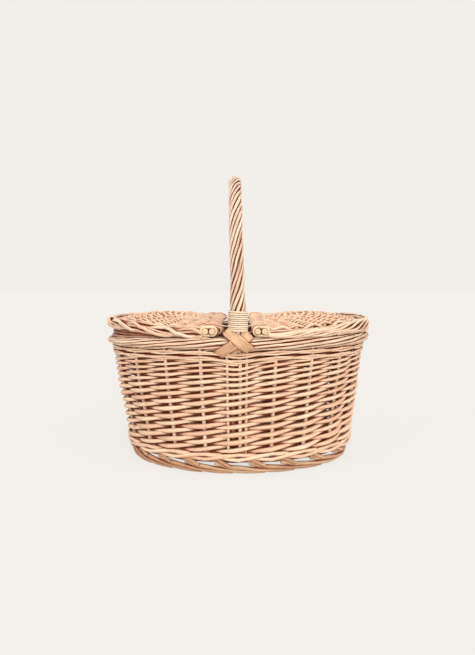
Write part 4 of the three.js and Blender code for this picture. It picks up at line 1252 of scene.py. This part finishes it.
def left_rim(seed):
    rim = Rim("left", -1, LEFT_HINGE_X, seed)
    tilt = LEFT_RIM_LIFT * smooth((rim.x - 80) / 90) - LEFT_RIM_DROOP * (1 - rim.fade)
    for half_turn, share, level in PLAIT_STRANDS:
        shifted = rim.length + rim.bundle.waves(rim.length, PLAIT_SHIFT)
        phase = 2 * math.pi * PLAIT_WAVES * shifted / rim.whole + math.pi * half_turn + 0.8 * (1 - share)
        rise = PLAIT_RISE * share * np.sin(phase) * rim.fade + level + tilt
        out = (PLAIT_REACH * share - PLAIT_INWARDS) * np.cos(phase) * rim.fade
        rim.rod(rise, out, PLAIT_ROD - 0.9 * (1 - share), start_x=rim.past_discs)
    rim.inner_rods(LEFT_INNER_RODS, tilt)
    rim.bundle.piece("left_lid", BORDER_WILLOW, "willow", "left_lid_rim")


# %% The laid rim of the right lid
LAY_PITCH = 30
LAY_LENGTH = 150
LAY_TURN = 95
LAY_REACH = 2.6
LAY_SWING = 1.2
LAY_SWING_AT_END = 7.0
LAY_SUNK = 5.2
LAY_RIPPLE = 0.3
# The last number of each inner rod is its painted shade
RIGHT_INNER_RODS = [(-1.0, LOWEST_ROD, 0, 0.0), (-4.4, 4.6, 0, 0.3), (-8.6, 8.2, 0, 0.35),
                    (-4.6, 4.8, -0.45, 0.3), (-4.8, 6.4, -0.85, 0.0)]


def right_rim(seed):
    rim = Rim("right", 1, RIGHT_HINGE_X, seed)
    swing = LAY_SWING + LAY_SWING_AT_END * np.clip((rim.x - 45) / 130, 0, 1)
    for start in np.arange(-95, rim.whole - 20, LAY_PITCH):
        share = (rim.length - start) / LAY_LENGTH
        here = (share >= 0) & (share <= 1) & (rim.x > rim.past_discs)
        lay = np.radians(LAY_TURN * (2 * share - 1))
        ripple = LAY_RIPPLE * np.cos(lay) * np.sin(rim.length / 11 + start)
        rise = swing * (1 + np.sin(lay) + ripple) - LAY_SUNK
        if here.sum() > 6:
            rim.rod(rise * rim.fade, LAY_REACH * np.cos(lay), here=here)
    rim.inner_rods(RIGHT_INNER_RODS, 0)
    rim.bundle.piece("right_lid", BORDER_WILLOW, "willow", "right_lid_rim")


# %% Both lids
LEFT_TURNS_BULGE = 8.5

lid_sticks("left", -1, LEFT_HINGE_X, 101)
lid_weave("left", -1, LEFT_HINGE_X, LEFT_TURNS_BULGE, 102)
left_rim(103)
lid_sticks("right", 1, RIGHT_HINGE_X, 111)
lid_weave("right", 1, RIGHT_HINGE_X, 0.0, 112)
right_rim(113)

# %% [markdown]
# ## Camera, floor and light
#
# The photograph is taken from a little above the lids and nearly a metre in front, with the camera
# held level, because the handle and the sides of the basket stay upright in it. Its frame is 475 by
# 655 pixels, and the horizon lies above its middle. Tipping the camera would tilt the uprights, so
# the lens is shifted instead.

# %% The camera
FRAME_HEIGHT = 655
FOCAL_PIXELS = 550
HORIZON_ABOVE_MIDDLE = 51.3
RIGHT_OF_MIDDLE = 0.5
SENSOR = 36
CAMERA_PLACE = (0, -0.86, 0.268)

camera_data = bpy.data.cameras.new("camera")
camera_data.sensor_width = SENSOR
camera_data.lens = FOCAL_PIXELS * SENSOR / FRAME_HEIGHT
camera_data.shift_y = -HORIZON_ABOVE_MIDDLE / FRAME_HEIGHT
camera_data.shift_x = -RIGHT_OF_MIDDLE / FRAME_HEIGHT
camera = place("camera", camera_data)
camera.location = CAMERA_PLACE
camera.rotation_euler = (math.pi / 2, 0, 0)
bpy.context.scene.camera = camera
print(f"lens {camera_data.lens:.1f} mm")

# %% [markdown]
# ## The sheet behind the basket
#
# The backdrop is the pale grey-cream of a studio sheet. A bright world would give that colour, but
# would also wash out the basket. Only what the camera sees directly gets the colour in full, so the
# sheet looks bright but adds no light to the basket, and the floor still takes its shadow.

# %% The backdrop and the floor
BACKDROP = tint(242, 239, 234)
DAYLIGHT = tint(255, 252, 248)
WORLD_LIGHT = 0.54
SHEET_PAPER = tint(230, 227, 222)
FLOOR_SHADOW = 0.13
FLOOR_CORNERS = [(-6, -3, 0), (6, -3, 0), (6, 9, 0), (-6, 9, 0)]


def emptied(owner):
    """The start of an empty net of nodes."""
    owner.use_nodes = True
    owner.node_tree.nodes.clear()
    return Socket(owner.node_tree)


def seen_directly(start):
    """1 for rays from the camera, also by way of a shiny or a clear surface."""
    camera_ray, glossy_ray, clear_ray = (
        start.node("ShaderNodeLightPath", out=name)
        for name in ("Is Camera Ray", "Is Glossy Ray", "Is Transmission Ray"))
    either = camera_ray.math("MAXIMUM", camera_ray, glossy_ray)
    return either.math("MAXIMUM", either, clear_ray)


world = bpy.data.worlds.new("studio")
bpy.context.scene.world = world
start = emptied(world)
lit = start.node("ShaderNodeBackground", None, {"Color": DAYLIGHT, "Strength": WORLD_LIGHT})
seen = start.node("ShaderNodeBackground", None, {"Color": BACKDROP, "Strength": 1.0})
both = start.node("ShaderNodeMixShader", None, {0: seen_directly(start), 1: lit, 2: seen})
start.node("ShaderNodeOutputWorld", None, {"Surface": both})

floor_mesh = bpy.data.meshes.new("floor")
floor_mesh.from_pydata(FLOOR_CORNERS, [], [(0, 1, 2, 3)])
floor = place("floor", floor_mesh)
sheet = bpy.data.materials.new("floor_sheet")
start = emptied(sheet)
matt = start.node("ShaderNodeBsdfDiffuse", None, {"Color": SHEET_PAPER})
glow = start.node("ShaderNodeEmission", None, {"Color": BACKDROP, "Strength": 1.0})
shown = start.node("ShaderNodeMixShader", None, {0: 1 - FLOOR_SHADOW, 1: matt, 2: glow})
whole = start.node("ShaderNodeMixShader", None, {0: seen_directly(start), 1: matt, 2: shown})
start.node("ShaderNodeOutputMaterial", None, {"Surface": whole})
floor_mesh.materials.append(sheet)
print("backdrop and floor are in place")

# %% [markdown]
# ## Light
#
# The photograph has the soft, even light of a white room, a little stronger from above the camera.
# Area lamps would do the same, but their light falls off with distance and needs placing again for
# every size of object. Far lamps with a wide disc are as soft and stay level all over the basket.

# %% The lamps
def sun(name, strength, tilt, turn, softness):
    """A soft far lamp: tilt from overhead and turn round the basket, in degrees."""
    data = bpy.data.lights.new(name, "SUN")
    data.energy = strength
    data.angle = math.radians(softness)
    place(name, data).rotation_euler = (math.radians(tilt), 0, math.radians(turn))
    print(f"{name}: strength {strength}")


sun("key_lamp", 1.75, 58, 10, 22)
sun("top_lamp", 0.95, 10, 0, 50)
sun("left_lamp", 0.5, 62, -58, 40)
sun("right_lamp", 0.5, 62, 62, 40)
bpy.context.scene.view_settings.view_transform = "Standard"
